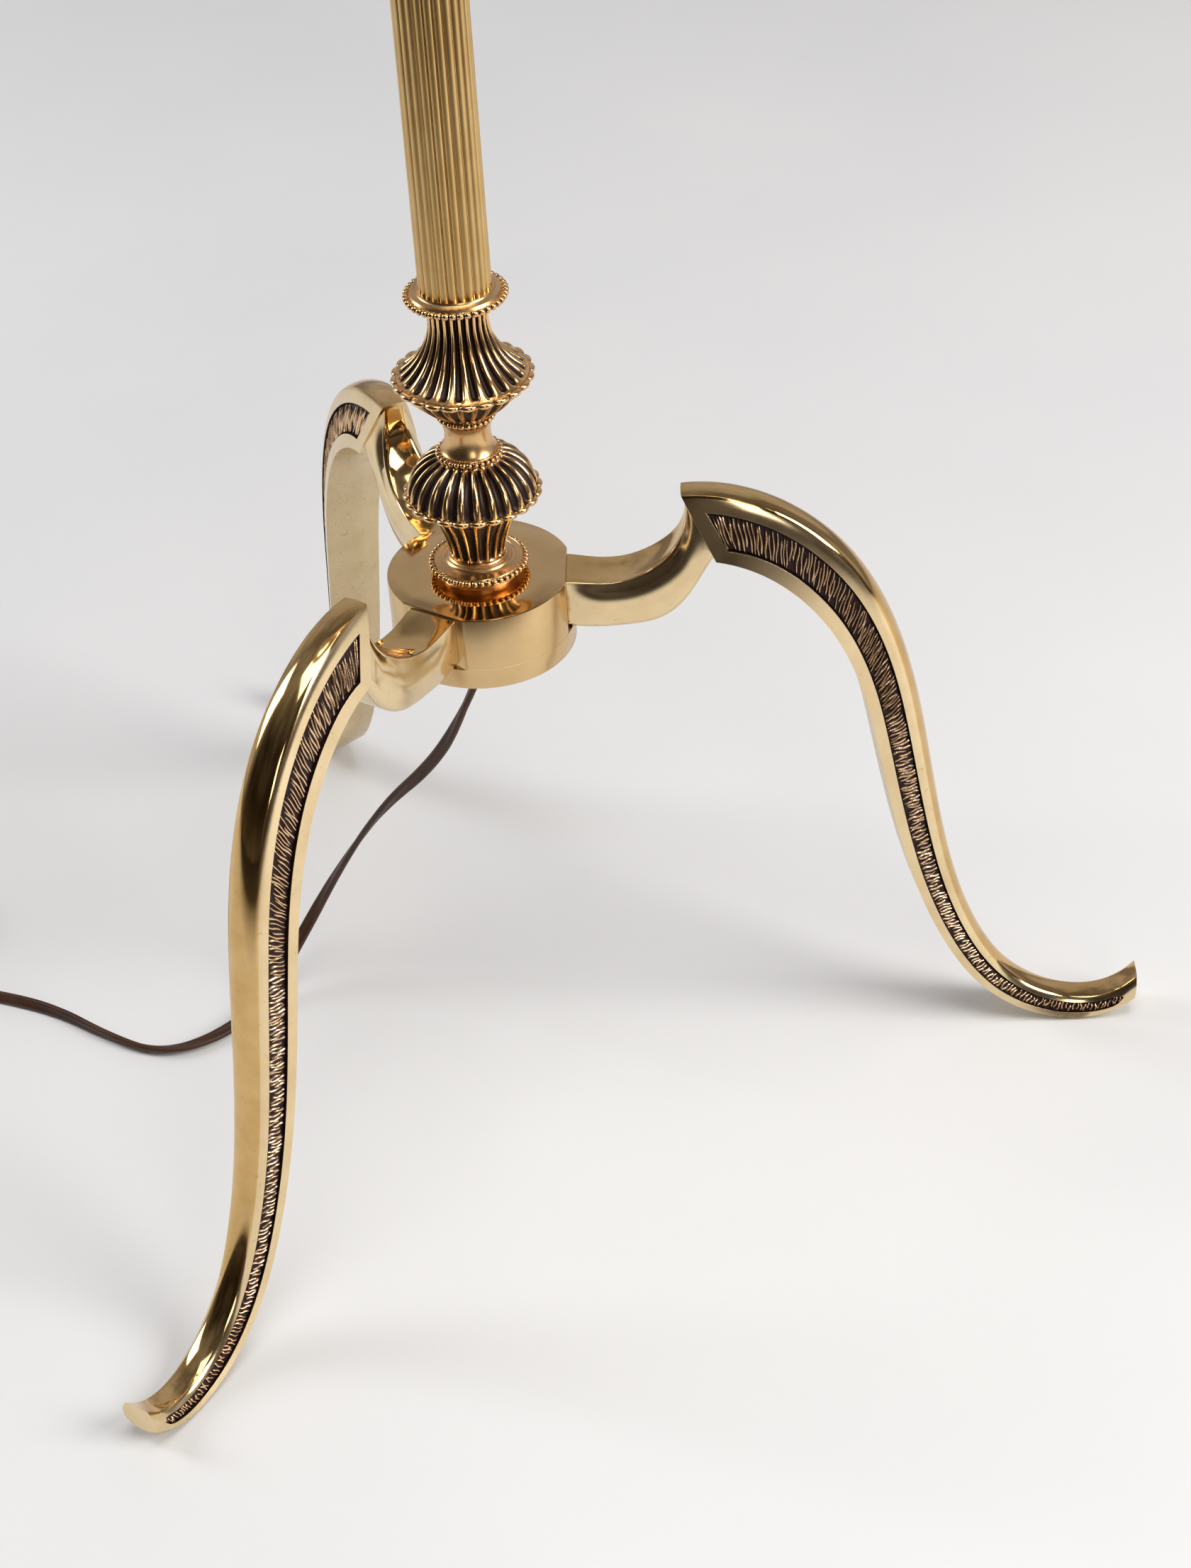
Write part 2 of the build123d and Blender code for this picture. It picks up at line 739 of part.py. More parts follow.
with BuildPart() as strain_relief:
    with BuildSketch(Plane.XY.offset(HUB_BOTTOM)):
        Circle(OUTLET_R)
    extrude(amount=RELIEF_TOP - HUB_BOTTOM)
    with BuildSketch(Plane.XY.offset(HUB_BOTTOM)):
        Circle(5.6)
    extrude(amount=-1.6)
    with BuildSketch(Plane.XY.offset(HUB_BOTTOM - 1.6)):
        Circle(4.6)
    with BuildSketch(Plane(origin=RELIEF_END, z_dir=RELIEF_LEAN)):
        Circle(3.3)
    loft()
save(strain_relief, "strain_relief")

# outside: it hangs out of the hub, lies on the floor and runs off to a wound coil
COIL_CENTRE = (-313.5, 77.6)
COIL_MIDDLE_R = 33.5
TURN_PITCH = 5.8
CORD_ROUTE = [
    RELIEF_END,
    (-13.5, 3.05, 172.75),
    (-29, 12, 141),
    (-56, 25, 107),
    (-80, 37, 64),
    (-100, 38, 27),
    (-118, 17, CORD_R),
    (-136, -8, CORD_R),
    (-162, -20, CORD_R),
    (-190, -8, CORD_R),
    (-220, 13, CORD_R),
    (-255, 25, CORD_R),
    (-290, 33, CORD_R),
    (-321, 39, CORD_R),
]
cord_tube("cord", CORD_ROUTE)

with BuildPart() as cord_coil:
    with BuildSketch(Plane.XY):
        with Locations(COIL_CENTRE):
            Circle(COIL_MIDDLE_R + 1.5 * TURN_PITCH + 0.2)
            Circle(COIL_MIDDLE_R - 1.5 * TURN_PITCH - 0.2, mode=Mode.SUBTRACT)
    extrude(amount=2 * TURN_PITCH)
save(cord_coil, "cord_coil")

TAIL_X = COIL_CENTRE[0] - COIL_MIDDLE_R - TURN_PITCH
PLUG_BACK = 120.0
PLUG_X = TAIL_X + 1.6
PLUG_Z = 7.0
CORD_TAIL_ROUTE = [
    (TAIL_X, 78, 1.5 * TURN_PITCH),
    (TAIL_X - 0.5, 91.4, 5.6),
    (PLUG_X, PLUG_BACK - 14, PLUG_Z),
    (PLUG_X, PLUG_BACK, PLUG_Z),
]
cord_tube("cord_tail", CORD_TAIL_ROUTE)

with BuildPart() as plug_body:
    with BuildSketch(Plane.XZ.offset(-PLUG_BACK)):
        with Locations((PLUG_X, PLUG_Z)):
            RectangleRounded(13, 9, 3)
    with BuildSketch(Plane.XZ.offset(-PLUG_BACK - 12)):
        with Locations((PLUG_X, PLUG_Z)):
            RectangleRounded(22, 14, 4)
    loft()
    with BuildSketch(Plane.XZ.offset(-PLUG_BACK - 12)):
        with Locations((PLUG_X, PLUG_Z)):
            RectangleRounded(22, 14, 4)
    extrude(amount=-16)
save(plug_body, "plug_body")

with BuildPart() as plug_blades:
    with BuildSketch(Plane.XZ.offset(-PLUG_BACK - 28)):
        with Locations((PLUG_X - 6.35, PLUG_Z), (PLUG_X + 6.35, PLUG_Z)):
            Rectangle(1.5, 6.35)
    extrude(amount=-17)
save(plug_blades, "plug_blades")
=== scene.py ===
import math
import random

import bmesh
import bpy
import numpy as np
from mathutils import Matrix, Vector


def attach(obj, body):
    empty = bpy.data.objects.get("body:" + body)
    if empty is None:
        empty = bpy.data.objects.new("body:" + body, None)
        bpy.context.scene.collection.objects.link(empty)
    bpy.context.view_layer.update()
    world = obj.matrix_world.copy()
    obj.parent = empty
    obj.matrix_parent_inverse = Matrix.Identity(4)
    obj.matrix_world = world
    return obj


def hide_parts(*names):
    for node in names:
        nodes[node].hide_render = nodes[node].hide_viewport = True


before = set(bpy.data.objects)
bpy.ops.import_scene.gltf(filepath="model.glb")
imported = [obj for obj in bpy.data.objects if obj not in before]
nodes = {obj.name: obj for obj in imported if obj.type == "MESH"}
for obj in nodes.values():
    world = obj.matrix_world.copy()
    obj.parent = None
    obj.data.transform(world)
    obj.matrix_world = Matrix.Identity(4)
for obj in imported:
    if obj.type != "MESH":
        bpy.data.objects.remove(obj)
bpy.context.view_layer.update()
scene = bpy.context.scene
MM = 0.001


# ---------------------------------------------------------------- camera
CAMERA_AT = Vector((0.0959, -0.9942, 0.9064))
CAMERA_AZIMUTH, CAMERA_ELEVATION, CAMERA_ROLL = (math.radians(a) for a in (3.104, 37.719, -3.570))
back = Vector((
    math.sin(CAMERA_AZIMUTH) * math.cos(CAMERA_ELEVATION),
    -math.cos(CAMERA_AZIMUTH) * math.cos(CAMERA_ELEVATION),
    math.sin(CAMERA_ELEVATION),
))
right = Vector((math.cos(CAMERA_AZIMUTH), math.sin(CAMERA_AZIMUTH), 0))
up = back.cross(right)
rolled_right = math.cos(CAMERA_ROLL) * right + math.sin(CAMERA_ROLL) * up
rolled_up = -math.sin(CAMERA_ROLL) * right + math.cos(CAMERA_ROLL) * up
camera = bpy.data.objects.new("camera", bpy.data.cameras.new("camera"))
camera_axes = Matrix((rolled_right, rolled_up, back)).transposed()
camera.matrix_world = Matrix.Translation(CAMERA_AT) @ camera_axes.to_4x4()
camera.data.sensor_width = 36
camera.data.lens = 66.64
camera.data.clip_start = 0.05
camera.data.clip_end = 50
scene.collection.objects.link(camera)
scene.camera = camera


# ---------------------------------------------------------------- materials
def blank(name):
    """A material with a Principled shader; returns it, its node tree and the shader."""
    material = bpy.data.materials.new(name)
    material.use_nodes = True
    tree = material.node_tree
    return material, tree, tree.nodes["Principled BSDF"]


def place(tree, stretch=(1, 1, 1)):
    """Object coordinates, in metres, stretched along the axes."""
    coordinates = tree.nodes.new("ShaderNodeTexCoord")
    mapping = tree.nodes.new("ShaderNodeMapping")
    mapping.inputs["Scale"].default_value = stretch
    tree.links.new(coordinates.outputs["Object"], mapping.inputs["Vector"])
    return mapping.outputs["Vector"]


def noise(tree, at, scale, detail=3.0, rough=0.5):
    """A cloudy factor, mostly between 0.3 and 0.7."""
    node = tree.nodes.new("ShaderNodeTexNoise")
    node.inputs["Scale"].default_value = scale
    node.inputs["Detail"].default_value = detail
    node.inputs["Roughness"].default_value = rough
    tree.links.new(at, node.inputs["Vector"])
    return node.outputs["Fac"]


def ramp(tree, factor, stops):
    """A colour ramp; stops are (place, colour)."""
    node = tree.nodes.new("ShaderNodeValToRGB")
    elements = node.color_ramp.elements
    while len(elements) < len(stops):
        elements.new(0.5)
    for element, (where, colour) in zip(elements, stops):
        element.position = where
        element.color = (*colour, 1)
    tree.links.new(factor, node.inputs["Fac"])
    return node.outputs["Color"]


def spread(tree, factor, low, high, start=0.3, end=0.7):
    """Maps a factor from start..end to low..high."""
    node = tree.nodes.new("ShaderNodeMapRange")
    for key, value in (("From Min", start), ("From Max", end), ("To Min", low), ("To Max", high)):
        node.inputs[key].default_value = value
    tree.links.new(factor, node.inputs["Value"])
    return node.outputs["Result"]


def add(tree, first, second):
    """The sum of two factors."""
    node = tree.nodes.new("ShaderNodeMath")
    node.operation = "ADD"
    tree.links.new(first, node.inputs[0])
    tree.links.new(second, node.inputs[1])
    return node.outputs["Value"]


def bump(tree, shader, height, strength, distance):
    """Roughens a shader's surface by a height factor; distance is in metres."""
    node = tree.nodes.new("ShaderNodeBump")
    node.inputs["Strength"].default_value = strength
    node.inputs["Distance"].default_value = distance
    tree.links.new(height, node.inputs["Height"])
    tree.links.new(node.outputs["Normal"], shader.inputs["Normal"])


def metal(name, light, dark, rough, vary=0.05, stretch=(1, 1, 1), grain=900.0, grain_depth=0.00002,
          spots=0.0):
    """Metal with cloudy tone, uneven polish, fine grain, and a few tarnish specks."""
    material, tree, shader = blank(name)
    at = place(tree, stretch)
    plain = place(tree)
    cloud = noise(tree, plain, 55.0, 4.0, 0.6)
    tree.links.new(ramp(tree, cloud, [(0.3, dark), (0.62, light)]), shader.inputs["Base Color"])
    if spots:
        speck = spread(tree, noise(tree, plain, 420.0, 2.0), 0.0, spots, 0.66, 0.74)
        tone = tree.nodes.new("ShaderNodeMix")
        tone.data_type = "RGBA"
        tree.links.new(speck, tone.inputs["Factor"])
        tree.links.new(shader.inputs["Base Color"].links[0].from_socket, tone.inputs["A"])
        tone.inputs["B"].default_value = (dark[0] * 0.35, dark[1] * 0.3, dark[2] * 0.25, 1)
        tree.links.new(tone.outputs["Result"], shader.inputs["Base Color"])
    smear = noise(tree, plain, 90.0, 5.0, 0.7)
    tree.links.new(spread(tree, smear, rough - vary, rough + vary), shader.inputs["Roughness"])
    shader.inputs["Metallic"].default_value = 1.0
    bump(tree, shader, noise(tree, at, grain, 3.0, 0.65), 0.25, grain_depth)
    return material


def patina_and_shade(name, gold, shadow, start, end, gold_rough=0.17, shadow_rough=0.42):
    """Gilt relief: bright where it stands out and rubbed clean; in the hollows dark lacquer, deepened to near
    black as painted shade.
    """
    material, tree, shader = blank(name)
    relief = tree.nodes.new("ShaderNodeAttribute")
    relief.attribute_name = "relief"
    plain = place(tree)
    uneven = spread(tree, noise(tree, plain, 320.0, 4.0, 0.65), -0.13, 0.13)
    height = add(tree, relief.outputs["Fac"], uneven)
    clean = spread(tree, height, 0.0, 1.0, start, end)
    half = tuple((g * 0.42 + s * 0.58) for g, s in zip(gold, shadow))
    # the shadow colour is painted shade in the hollows, laid over the lacquer's own dark
    tree.links.new(ramp(tree, clean, [(0.0, shadow), (0.45, half), (1.0, gold)]), shader.inputs["Base Color"])
    tree.links.new(spread(tree, clean, shadow_rough, gold_rough, 0.0, 1.0), shader.inputs["Roughness"])
    tree.links.new(spread(tree, clean, 0.55, 1.0, 0.0, 0.8), shader.inputs["Metallic"])
    bump(tree, shader, noise(tree, plain, 1500.0, 3.0), 0.2, 0.00003)
    return material


GOLD = (0.72, 0.48, 0.21)
GOLD_DEEP = (0.60, 0.38, 0.14)
polished = metal("polished_brass", GOLD, GOLD_DEEP, 0.09, 0.03,
                 grain=300.0, grain_depth=0.000004, spots=0.2)
# satin brass is lighter and paler than the polished brass: a satin finish plus painted highlight for the
# bright light its sides reflect
satin_painted_highlight = metal("satin_brass_painted_highlight", (0.80, 0.63, 0.38), (0.72, 0.54, 0.30), 0.17, 0.03,
              grain=900.0, grain_depth=0.000006, spots=0.3)
rear_satin = metal("filed_brass", (0.68, 0.54, 0.33), (0.61, 0.47, 0.27), 0.27, 0.03,
                   grain=900.0, grain_depth=0.000005, spots=0.3)
turned_metal = metal("turned_brass", (0.74, 0.48, 0.23), (0.66, 0.41, 0.18), 0.28, 0.03, (1, 1, 26),
                     grain=420.0, grain_depth=0.00001)
column_metal = metal("reeded_brass", (0.62, 0.41, 0.17), (0.54, 0.34, 0.12), 0.25, 0.03, (1, 1, 0.05),
                     grain=1500.0, grain_depth=0.000008)
hub_top_metal = metal("hub_top_brass", (0.70, 0.47, 0.22), (0.64, 0.42, 0.18), 0.10, 0.02,
                      grain=1600.0, grain_depth=0.000003)
hub_side_metal = metal("hub_side_brass", (0.68, 0.48, 0.25), (0.62, 0.43, 0.21), 0.24, 0.02, (1, 1, 18),
                       grain=700.0, grain_depth=0.000008)
steel = metal("plated_steel", (0.66, 0.66, 0.67), (0.5, 0.5, 0.52), 0.32)
brassed = metal("brassed_steel", (0.80, 0.60, 0.32), (0.68, 0.48, 0.24), 0.20)
contact_metal = metal("contact_brass", (0.86, 0.68, 0.34), (0.7, 0.5, 0.22), 0.25)
# near black in the hollows is painted shade over dark lacquer; the ribbed panel's pale gold crests are clean
# brass lightened as painted highlight
fluted = patina_and_shade("flutes_lacquer_and_shade", (0.82, 0.51, 0.23), (0.026, 0.012, 0.008), 0.56, 0.80)
panel_metal = patina_and_shade("ribbed_patina_and_shade", (0.92, 0.62, 0.37), (0.026, 0.010, 0.009), 0.34, 0.64, 0.22, 0.45)


def plastic(name, light, dark, rough, grain, depth):
    """Moulded plastic or board with an uneven tone, gloss and surface."""
    material, tree, shader = blank(name)
    at = place(tree)
    tone = ramp(tree, noise(tree, at, 60.0, 4.0), [(0.3, dark), (0.7, light)])
    tree.links.new(tone, shader.inputs["Base Color"])
    gloss = spread(tree, noise(tree, at, 150.0, 4.0), rough - 0.05, rough + 0.08)
    tree.links.new(gloss, shader.inputs["Roughness"])
    shader.inputs["Specular IOR Level"].default_value = 0.32
    bump(tree, shader, noise(tree, at, grain, 3.0), 0.3, depth)
    return material


cord_pvc = plastic("brown_cord_pvc", (0.070, 0.028, 0.012), (0.040, 0.015, 0.007), 0.42, 900.0, 0.00003)
bakelite = plastic("dark_insulator", (0.045, 0.030, 0.022), (0.025, 0.016, 0.012), 0.38, 700.0, 0.00003)
liner_board = plastic("liner_board", (0.42, 0.31, 0.20), (0.32, 0.22, 0.13), 0.75, 500.0, 0.00008)
bulb_aluminium = metal("bulb_cap", (0.78, 0.78, 0.78), (0.6, 0.6, 0.6), 0.3)


def frosted_glass():
    """The bulb's white-coated glass."""
    material, tree, shader = blank("frosted_bulb")
    at = place(tree)
    tone = ramp(tree, noise(tree, at, 70.0), [(0.3, (0.86, 0.85, 0.82)), (0.7, (0.93, 0.92, 0.90))])
    tree.links.new(tone, shader.inputs["Base Color"])
    tree.links.new(spread(tree, noise(tree, at, 300.0), 0.35, 0.45), shader.inputs["Roughness"])
    shader.inputs["Subsurface Weight"].default_value = 0.2
    shader.inputs["Subsurface Radius"].default_value = (0.01, 0.01, 0.01)
    bump(tree, shader, noise(tree, at, 2500.0), 0.2, 0.00002)
    return material


def linen(name, light, dark):
    """Woven shade cloth: warp and weft threads with slubs."""
    material, tree, shader = blank(name)
    at = place(tree)
    slubs = noise(tree, place(tree, (1, 1, 14)), 120.0, 3.0)
    tree.links.new(ramp(tree, slubs, [(0.3, dark), (0.7, light)]), shader.inputs["Base Color"])
    weft = tree.nodes.new("ShaderNodeTexWave")
    weft.bands_direction = "Z"
    weft.inputs["Scale"].default_value = 330.0
    weft.inputs["Distortion"].default_value = 1.2
    tree.links.new(at, weft.inputs["Vector"])
    warp = noise(tree, place(tree, (1, 1, 0.04)), 1500.0, 2.0)
    tree.links.new(spread(tree, slubs, 0.78, 0.9), shader.inputs["Roughness"])
    shader.inputs["Sheen Weight"].default_value = 0.25
    bump(tree, shader, add(tree, weft.outputs["Fac"], warp), 0.5, 0.00015)
    return material


bulb_glass_material = frosted_glass()
shade_cloth = linen("shade_linen", (0.80, 0.73, 0.60), (0.69, 0.61, 0.47))
shade_trim = linen("shade_trim", (0.76, 0.66, 0.50), (0.64, 0.54, 0.38))


# ---------------------------------------------------------------- mesh tools
def loop_faces(rows, columns, wrap_rows=False, wrap_columns=True, start=0):
    """The quads of a grid of points, row by row."""
    faces = []
    for i in range(rows if wrap_rows else rows - 1):
        for j in range(columns if wrap_columns else columns - 1):
            after, across = (i + 1) % rows, (j + 1) % columns
            faces.append((start + i * columns + j, start + i * columns + across,
                          start + after * columns + across, start + after * columns + j))
    return faces


class Shape:
    """Points in millimetres, faces with a material slot, and how far each point stands out."""

    def __init__(self):
        self.points, self.faces, self.slots, self.relief = [], [], [], []

    def grid(self, points, wrap_rows=False, wrap_columns=True, slots=0, relief=1.0, caps=None):
        """Adds rows of points. slots is one slot, or one for each column or face. caps is the ends' slot."""
        points = np.asarray(points, float)
        rows, columns = points.shape[:2]
        start = len(self.points)
        self.points.extend(map(tuple, points.reshape(-1, 3)))
        faces = loop_faces(rows, columns, wrap_rows, wrap_columns, start)
        self.faces.extend(faces)
        across = columns if wrap_columns else columns - 1
        self.slots.extend(np.broadcast_to(slots, (len(faces) // across, across)).ravel().tolist())
        self.relief.extend(np.broadcast_to(relief, (rows, columns)).ravel().tolist())
        if caps is not None:
            first = tuple(range(start + columns - 1, start - 1, -1))
            last = tuple(range(start + (rows - 1) * columns, start + rows * columns))
            self.faces.extend([first, last])
            self.slots.extend([caps, caps])
        return self


def piece(name, shape, materials, body="lamp", stands_for=(), sharp=35, bevel=None, weld=0.004):
    """A finished object from a shape: welded, facing outward, shaded, and riding on a body."""
    mesh = bpy.data.meshes.new(name)
    mesh.from_pydata([tuple(c * MM for c in p) for p in shape.points], [], shape.faces)
    for material in materials:
        mesh.materials.append(material)
    mesh.polygons.foreach_set("material_index", shape.slots)
    mesh.attributes.new("relief", "FLOAT", "POINT").data.foreach_set("value", shape.relief)
    work = bmesh.new()
    work.from_mesh(mesh)
    bmesh.ops.remove_doubles(work, verts=work.verts, dist=weld * MM)
    bmesh.ops.recalc_face_normals(work, faces=work.faces)
    for face in work.faces:
        face.smooth = True
    work.to_mesh(mesh)
    work.free()
    mesh.set_sharp_from_angle(angle=math.radians(sharp))
    made = bpy.data.objects.new(name, mesh)
    scene.collection.objects.link(made)
    if bevel:
        edge = made.modifiers.new("edges", "BEVEL")
        edge.width = bevel * MM
        edge.segments = 2
        edge.limit_method = "ANGLE"
        edge.angle_limit = math.radians(sharp)
        edge.harden_normals = True
    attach(made, body)
    if stands_for:
        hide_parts(*stands_for)
    return made


def arc(a, b, c, steps=8):
    """Points on the arc through three points, without its first point."""
    a, b, c = (np.array(p, float) for p in (a, b, c))
    d = 2 * (a[0] * (b[1] - c[1]) + b[0] * (c[1] - a[1]) + c[0] * (a[1] - b[1]))
    x = ((a @ a) * (b[1] - c[1]) + (b @ b) * (c[1] - a[1]) + (c @ c) * (a[1] - b[1])) / d
    y = ((a @ a) * (c[0] - b[0]) + (b @ b) * (a[0] - c[0]) + (c @ c) * (b[0] - a[0])) / d
    angles = [math.atan2(p[1] - y, p[0] - x) for p in (a, b, c)]
    turn, through = (angles[2] - angles[0]) % math.tau, (angles[1] - angles[0]) % math.tau
    if through > turn:
        turn -= math.tau
    radius = math.hypot(a[0] - x, a[1] - y)
    turns = [angles[0] + turn * k / steps for k in range(1, steps + 1)]
    return [(x + radius * math.cos(t), y + radius * math.sin(t)) for t in turns]


def smooth_curve(points, steps):
    """steps + 1 points of a smooth cubic through the given points, evenly spread by chord."""
    points = np.array(points, float)
    at = np.concatenate([[0], np.cumsum(np.linalg.norm(np.diff(points, axis=0), axis=1))])
    return cubic(at, points, np.linspace(0, at[-1], steps + 1))


def cubic(at, values, where):
    """The not-a-knot cubic through values at the places at, read at where."""
    count, gaps = len(at), np.diff(at)
    system, rhs = np.zeros((count, count)), np.zeros((count, values.shape[1]))
    system[0, :3] = gaps[1], -(gaps[0] + gaps[1]), gaps[0]
    system[-1, -3:] = gaps[-1], -(gaps[-2] + gaps[-1]), gaps[-2]
    for i in range(1, count - 1):
        system[i, i - 1:i + 2] = gaps[i - 1], 2 * (gaps[i - 1] + gaps[i]), gaps[i]
        rhs[i] = 6 * ((values[i + 1] - values[i]) / gaps[i] - (values[i] - values[i - 1]) / gaps[i - 1])
    bend = np.linalg.solve(system, rhs)
    i = np.clip(np.searchsorted(at, where) - 1, 0, count - 2)
    done, ahead, gap = (where - at[i])[:, None], (at[i + 1] - where)[:, None], gaps[i][:, None]
    bent = (bend[i] * ahead**3 + bend[i + 1] * done**3) / (6 * gap)
    from_start = (values[i] / gap - bend[i] * gap / 6) * ahead
    from_end = (values[i + 1] / gap - bend[i + 1] * gap / 6) * done
    return bent + from_start + from_end


# ---------------------------------------------------------------- turned, fluted and beaded pieces
def beads(shape, radius, height, count, size, slot=0):
    """A ring of round beads just touching each other."""
    steps, sides = count * 12, 12
    around = np.arange(steps) * math.tau / steps
    phase = (around * count / math.tau) % 1.0
    half_pitch = math.pi * radius / count
    along = np.abs(phase - 0.5) * 2 * half_pitch
    thick = np.sqrt(np.clip(1 - (along / (half_pitch * 1.04)) ** 2, 0.06, 1)) * size
    turn = np.arange(sides) * math.tau / sides
    rows = np.zeros((steps, sides, 3))
    out = radius + thick[:, None] * np.cos(turn)[None, :]
    rows[..., 0] = out * np.cos(around)[:, None]
    rows[..., 1] = out * np.sin(around)[:, None]
    rows[..., 2] = height + thick[:, None] * np.sin(turn)[None, :]
    # relief falls where neighbouring beads meet, so the gilt turns dark between them: lacquer and painted
    # shade
    relief = (thick / size * 1.25 - 0.15)[:, None] * np.ones(sides)
    shape.grid(rows, wrap_rows=True, slots=slot, relief=relief)


def turned(shape, outline, segments, slot=0, carve=None):
    """Revolves a closed outline. carve(angles, index, point) gives depth along the normal, and relief."""
    outline = np.array(outline, float)
    around = np.arange(segments) * math.tau / segments
    before, after = np.roll(outline, 1, axis=0), np.roll(outline, -1, axis=0)
    tangent = after - before
    normal = np.stack([tangent[:, 1], -tangent[:, 0]], -1)
    normal /= np.linalg.norm(normal, axis=1)[:, None] + 1e-9
    area = 0.5 * np.sum(outline[:, 0] * after[:, 1] - after[:, 0] * outline[:, 1])
    if area < 0:
        normal = -normal
    rows = np.zeros((len(outline), segments, 3))
    relief = np.ones((len(outline), segments))
    for i, (r, z) in enumerate(outline):
        depth = np.zeros(segments)
        if carve:
            depth, relief[i] = carve(around, i, (r, z))
        out, rise = r - normal[i, 0] * depth, z - normal[i, 1] * depth
        rows[i, :, 0], rows[i, :, 1], rows[i, :, 2] = out * np.cos(around), out * np.sin(around), rise
    shape.grid(rows, wrap_rows=True, slots=slot, relief=relief)


def rib_carve(count, first, last, depth, rib_share, round_power, end_rise):
    """Flutes between ribs on the outline's points first..last, fading at both ends."""
    def carve(around, i, point):
        if i < first or i > last:
            return np.zeros_like(around), np.ones_like(around)
        part = (i - first) / max(last - first, 1)
        fade = min(1.0, part / end_rise, (1 - part) / end_rise)
        fade = math.sin(fade * math.pi / 2)
        phase = (around * count / math.tau) % 1.0
        away = np.abs(phase - 0.5) * 2
        share = rib_share[0] + (rib_share[1] - rib_share[0]) * part
        rib = 1 - np.clip(away / share, 0, 1) ** round_power
        hollow = np.where(away > share, np.sin((away - share) / (1 - share) * math.pi / 2), 0.0)
        low = (1 - rib) * 0.72 + hollow * 0.28
        # the relief returned is low in the flutes, so the gilt turns near black there: lacquer and painted
        # shade
        return depth * fade * low, 1 - fade * np.clip(low * 1.15, 0, 1)
    return carve


def lobed_rim(shape, radius, height, count, tube, reach, slot=0):
    """A scalloped rim: a cord of long lobes, one for each rib."""
    steps, sides = count * 14, 12
    around = np.arange(steps) * math.tau / steps
    lobe = np.abs(np.sin(around * count / 2))
    turn = np.arange(sides) * math.tau / sides
    thick = tube * (0.55 + 0.45 * lobe**0.5)
    middle = radius + reach * (lobe**0.6 - 1)
    rows = np.zeros((steps, sides, 3))
    out = middle[:, None] + thick[:, None] * np.cos(turn)
    rows[..., 0], rows[..., 1] = out * np.cos(around)[:, None], out * np.sin(around)[:, None]
    rows[..., 2] = height + thick[:, None] * np.sin(turn) * 0.95
    # relief is low between the lobes, where the gilt turns dark: lacquer and painted shade
    shape.grid(rows, wrap_rows=True, slots=slot, relief=0.55 + 0.45 * lobe[:, None] ** 0.7 * np.ones(sides))


BORE = 5.4
stack = (turned_metal, fluted)

plate_line = [(BORE, 259.4), (BORE, 250.02), (16.4, 250.02), (15.6, 250.8), (15.6, 253.2), (16.8, 253.7),
              (18.2, 253.9)]
plate_line += arc((18.2, 253.9), (18.7, 254.9), (18.3, 256.0), 5)
plate_line += [(18.2, 256.25), (18.0, 256.05), (15.4, 256.5), (15.2, 256.35), (13.9, 256.9), (13.5, 257.6),
               (12.9, 257.9), (12.8, 258.6), (12.2, 259.0), (12.0, 259.4)]
plate = Shape()
turned(plate, plate_line, 180)
beads(plate, 19.3, 254.9, 45, 1.36, 1)
piece("base_plate_beaded", plate, stack, stands_for=["base_plate"])

stem_line = [(BORE, 283.0), (BORE, 259.4), (10.9, 259.4), (11.5, 259.9)]
stem_line += arc((11.5, 259.9), (13.7, 270.4), (19.3, 282.2), 22) + [(19.0, 283.0)]
stem = Shape()
turned(stem, stem_line, 19 * 16, 1, rib_carve(19, 3, 26, 1.6, (0.40, 0.36), 3.0, 0.08))
piece("fluted_stem", stem, stack, stands_for=["stem"])

dome_line = [(12.4, 305.2), (BORE, 305.2), (BORE, 283.1), (19.4, 283.1), (25.8, 286.6), (26.6, 288.0)]
dome_line += arc((26.6, 288.0), (23.6, 297.2), (12.6, 305.1), 26)
dome = Shape()
turned(dome, dome_line, 24 * 16, 1, rib_carve(24, 5, 31, 1.9, (0.62, 0.52), 2.0, 0.10))
lobed_rim(dome, 27.0, 288.0, 24, 1.35, 1.2, 1)
piece("fluted_dome", dome, stack, stands_for=["dome"])

spool_line = [(10.8, 324.8), (BORE, 324.8), (BORE, 305.2), (11.7, 305.2)]
spool_line += arc((11.7, 305.2), (11.9, 306.4), (11.5, 307.6), 5)
spool_line += [(11.6, 308.1), (11.2, 308.5)] + arc((11.2, 308.5), (9.3, 314.4), (10.6, 321.3), 18)
spool_line += [(10.8, 321.7), (10.3, 322.0)] + arc((10.3, 322.0), (10.4, 323.4), (10.2, 324.7), 5)
spool = Shape()
turned(spool, spool_line, 128)
beads(spool, 12.45, 306.4, 31, 1.22, 1)
beads(spool, 11.0, 323.4, 28, 1.15, 1)
piece("beaded_spool", spool, stack, stands_for=["spool"])

cup_line = [(25.4, 339.4), (BORE, 339.4), (BORE, 324.8), (10.8, 324.8)]
cup_line += arc((10.8, 324.8), (18.2, 330.4), (25.7, 339.3), 20)
cup = Shape()
turned(cup, cup_line, 26 * 16, 1, rib_carve(26, 3, 23, 1.6, (0.46, 0.54), 3.0, 0.08))
piece("fluted_cup", cup, stack, stands_for=["cup"])

bell_line = [(BORE, 374.2), (BORE, 339.4), (25.8, 339.4), (26.4, 340.6), (26.2, 342.3)]
bell_line += arc((26.2, 342.3), (17.0, 350.6), (11.9, 366.0), 30) + [(12.0, 370.0), (12.3, 374.1)]
bell = Shape()
turned(bell, bell_line, 24 * 16, 1, rib_carve(24, 5, 44, 1.9, (0.66, 0.52), 3.4, 0.06))
lobed_rim(bell, 27.2, 340.9, 24, 1.35, 1.1, 1)
piece("fluted_bell", bell, stack, stands_for=["bell"])


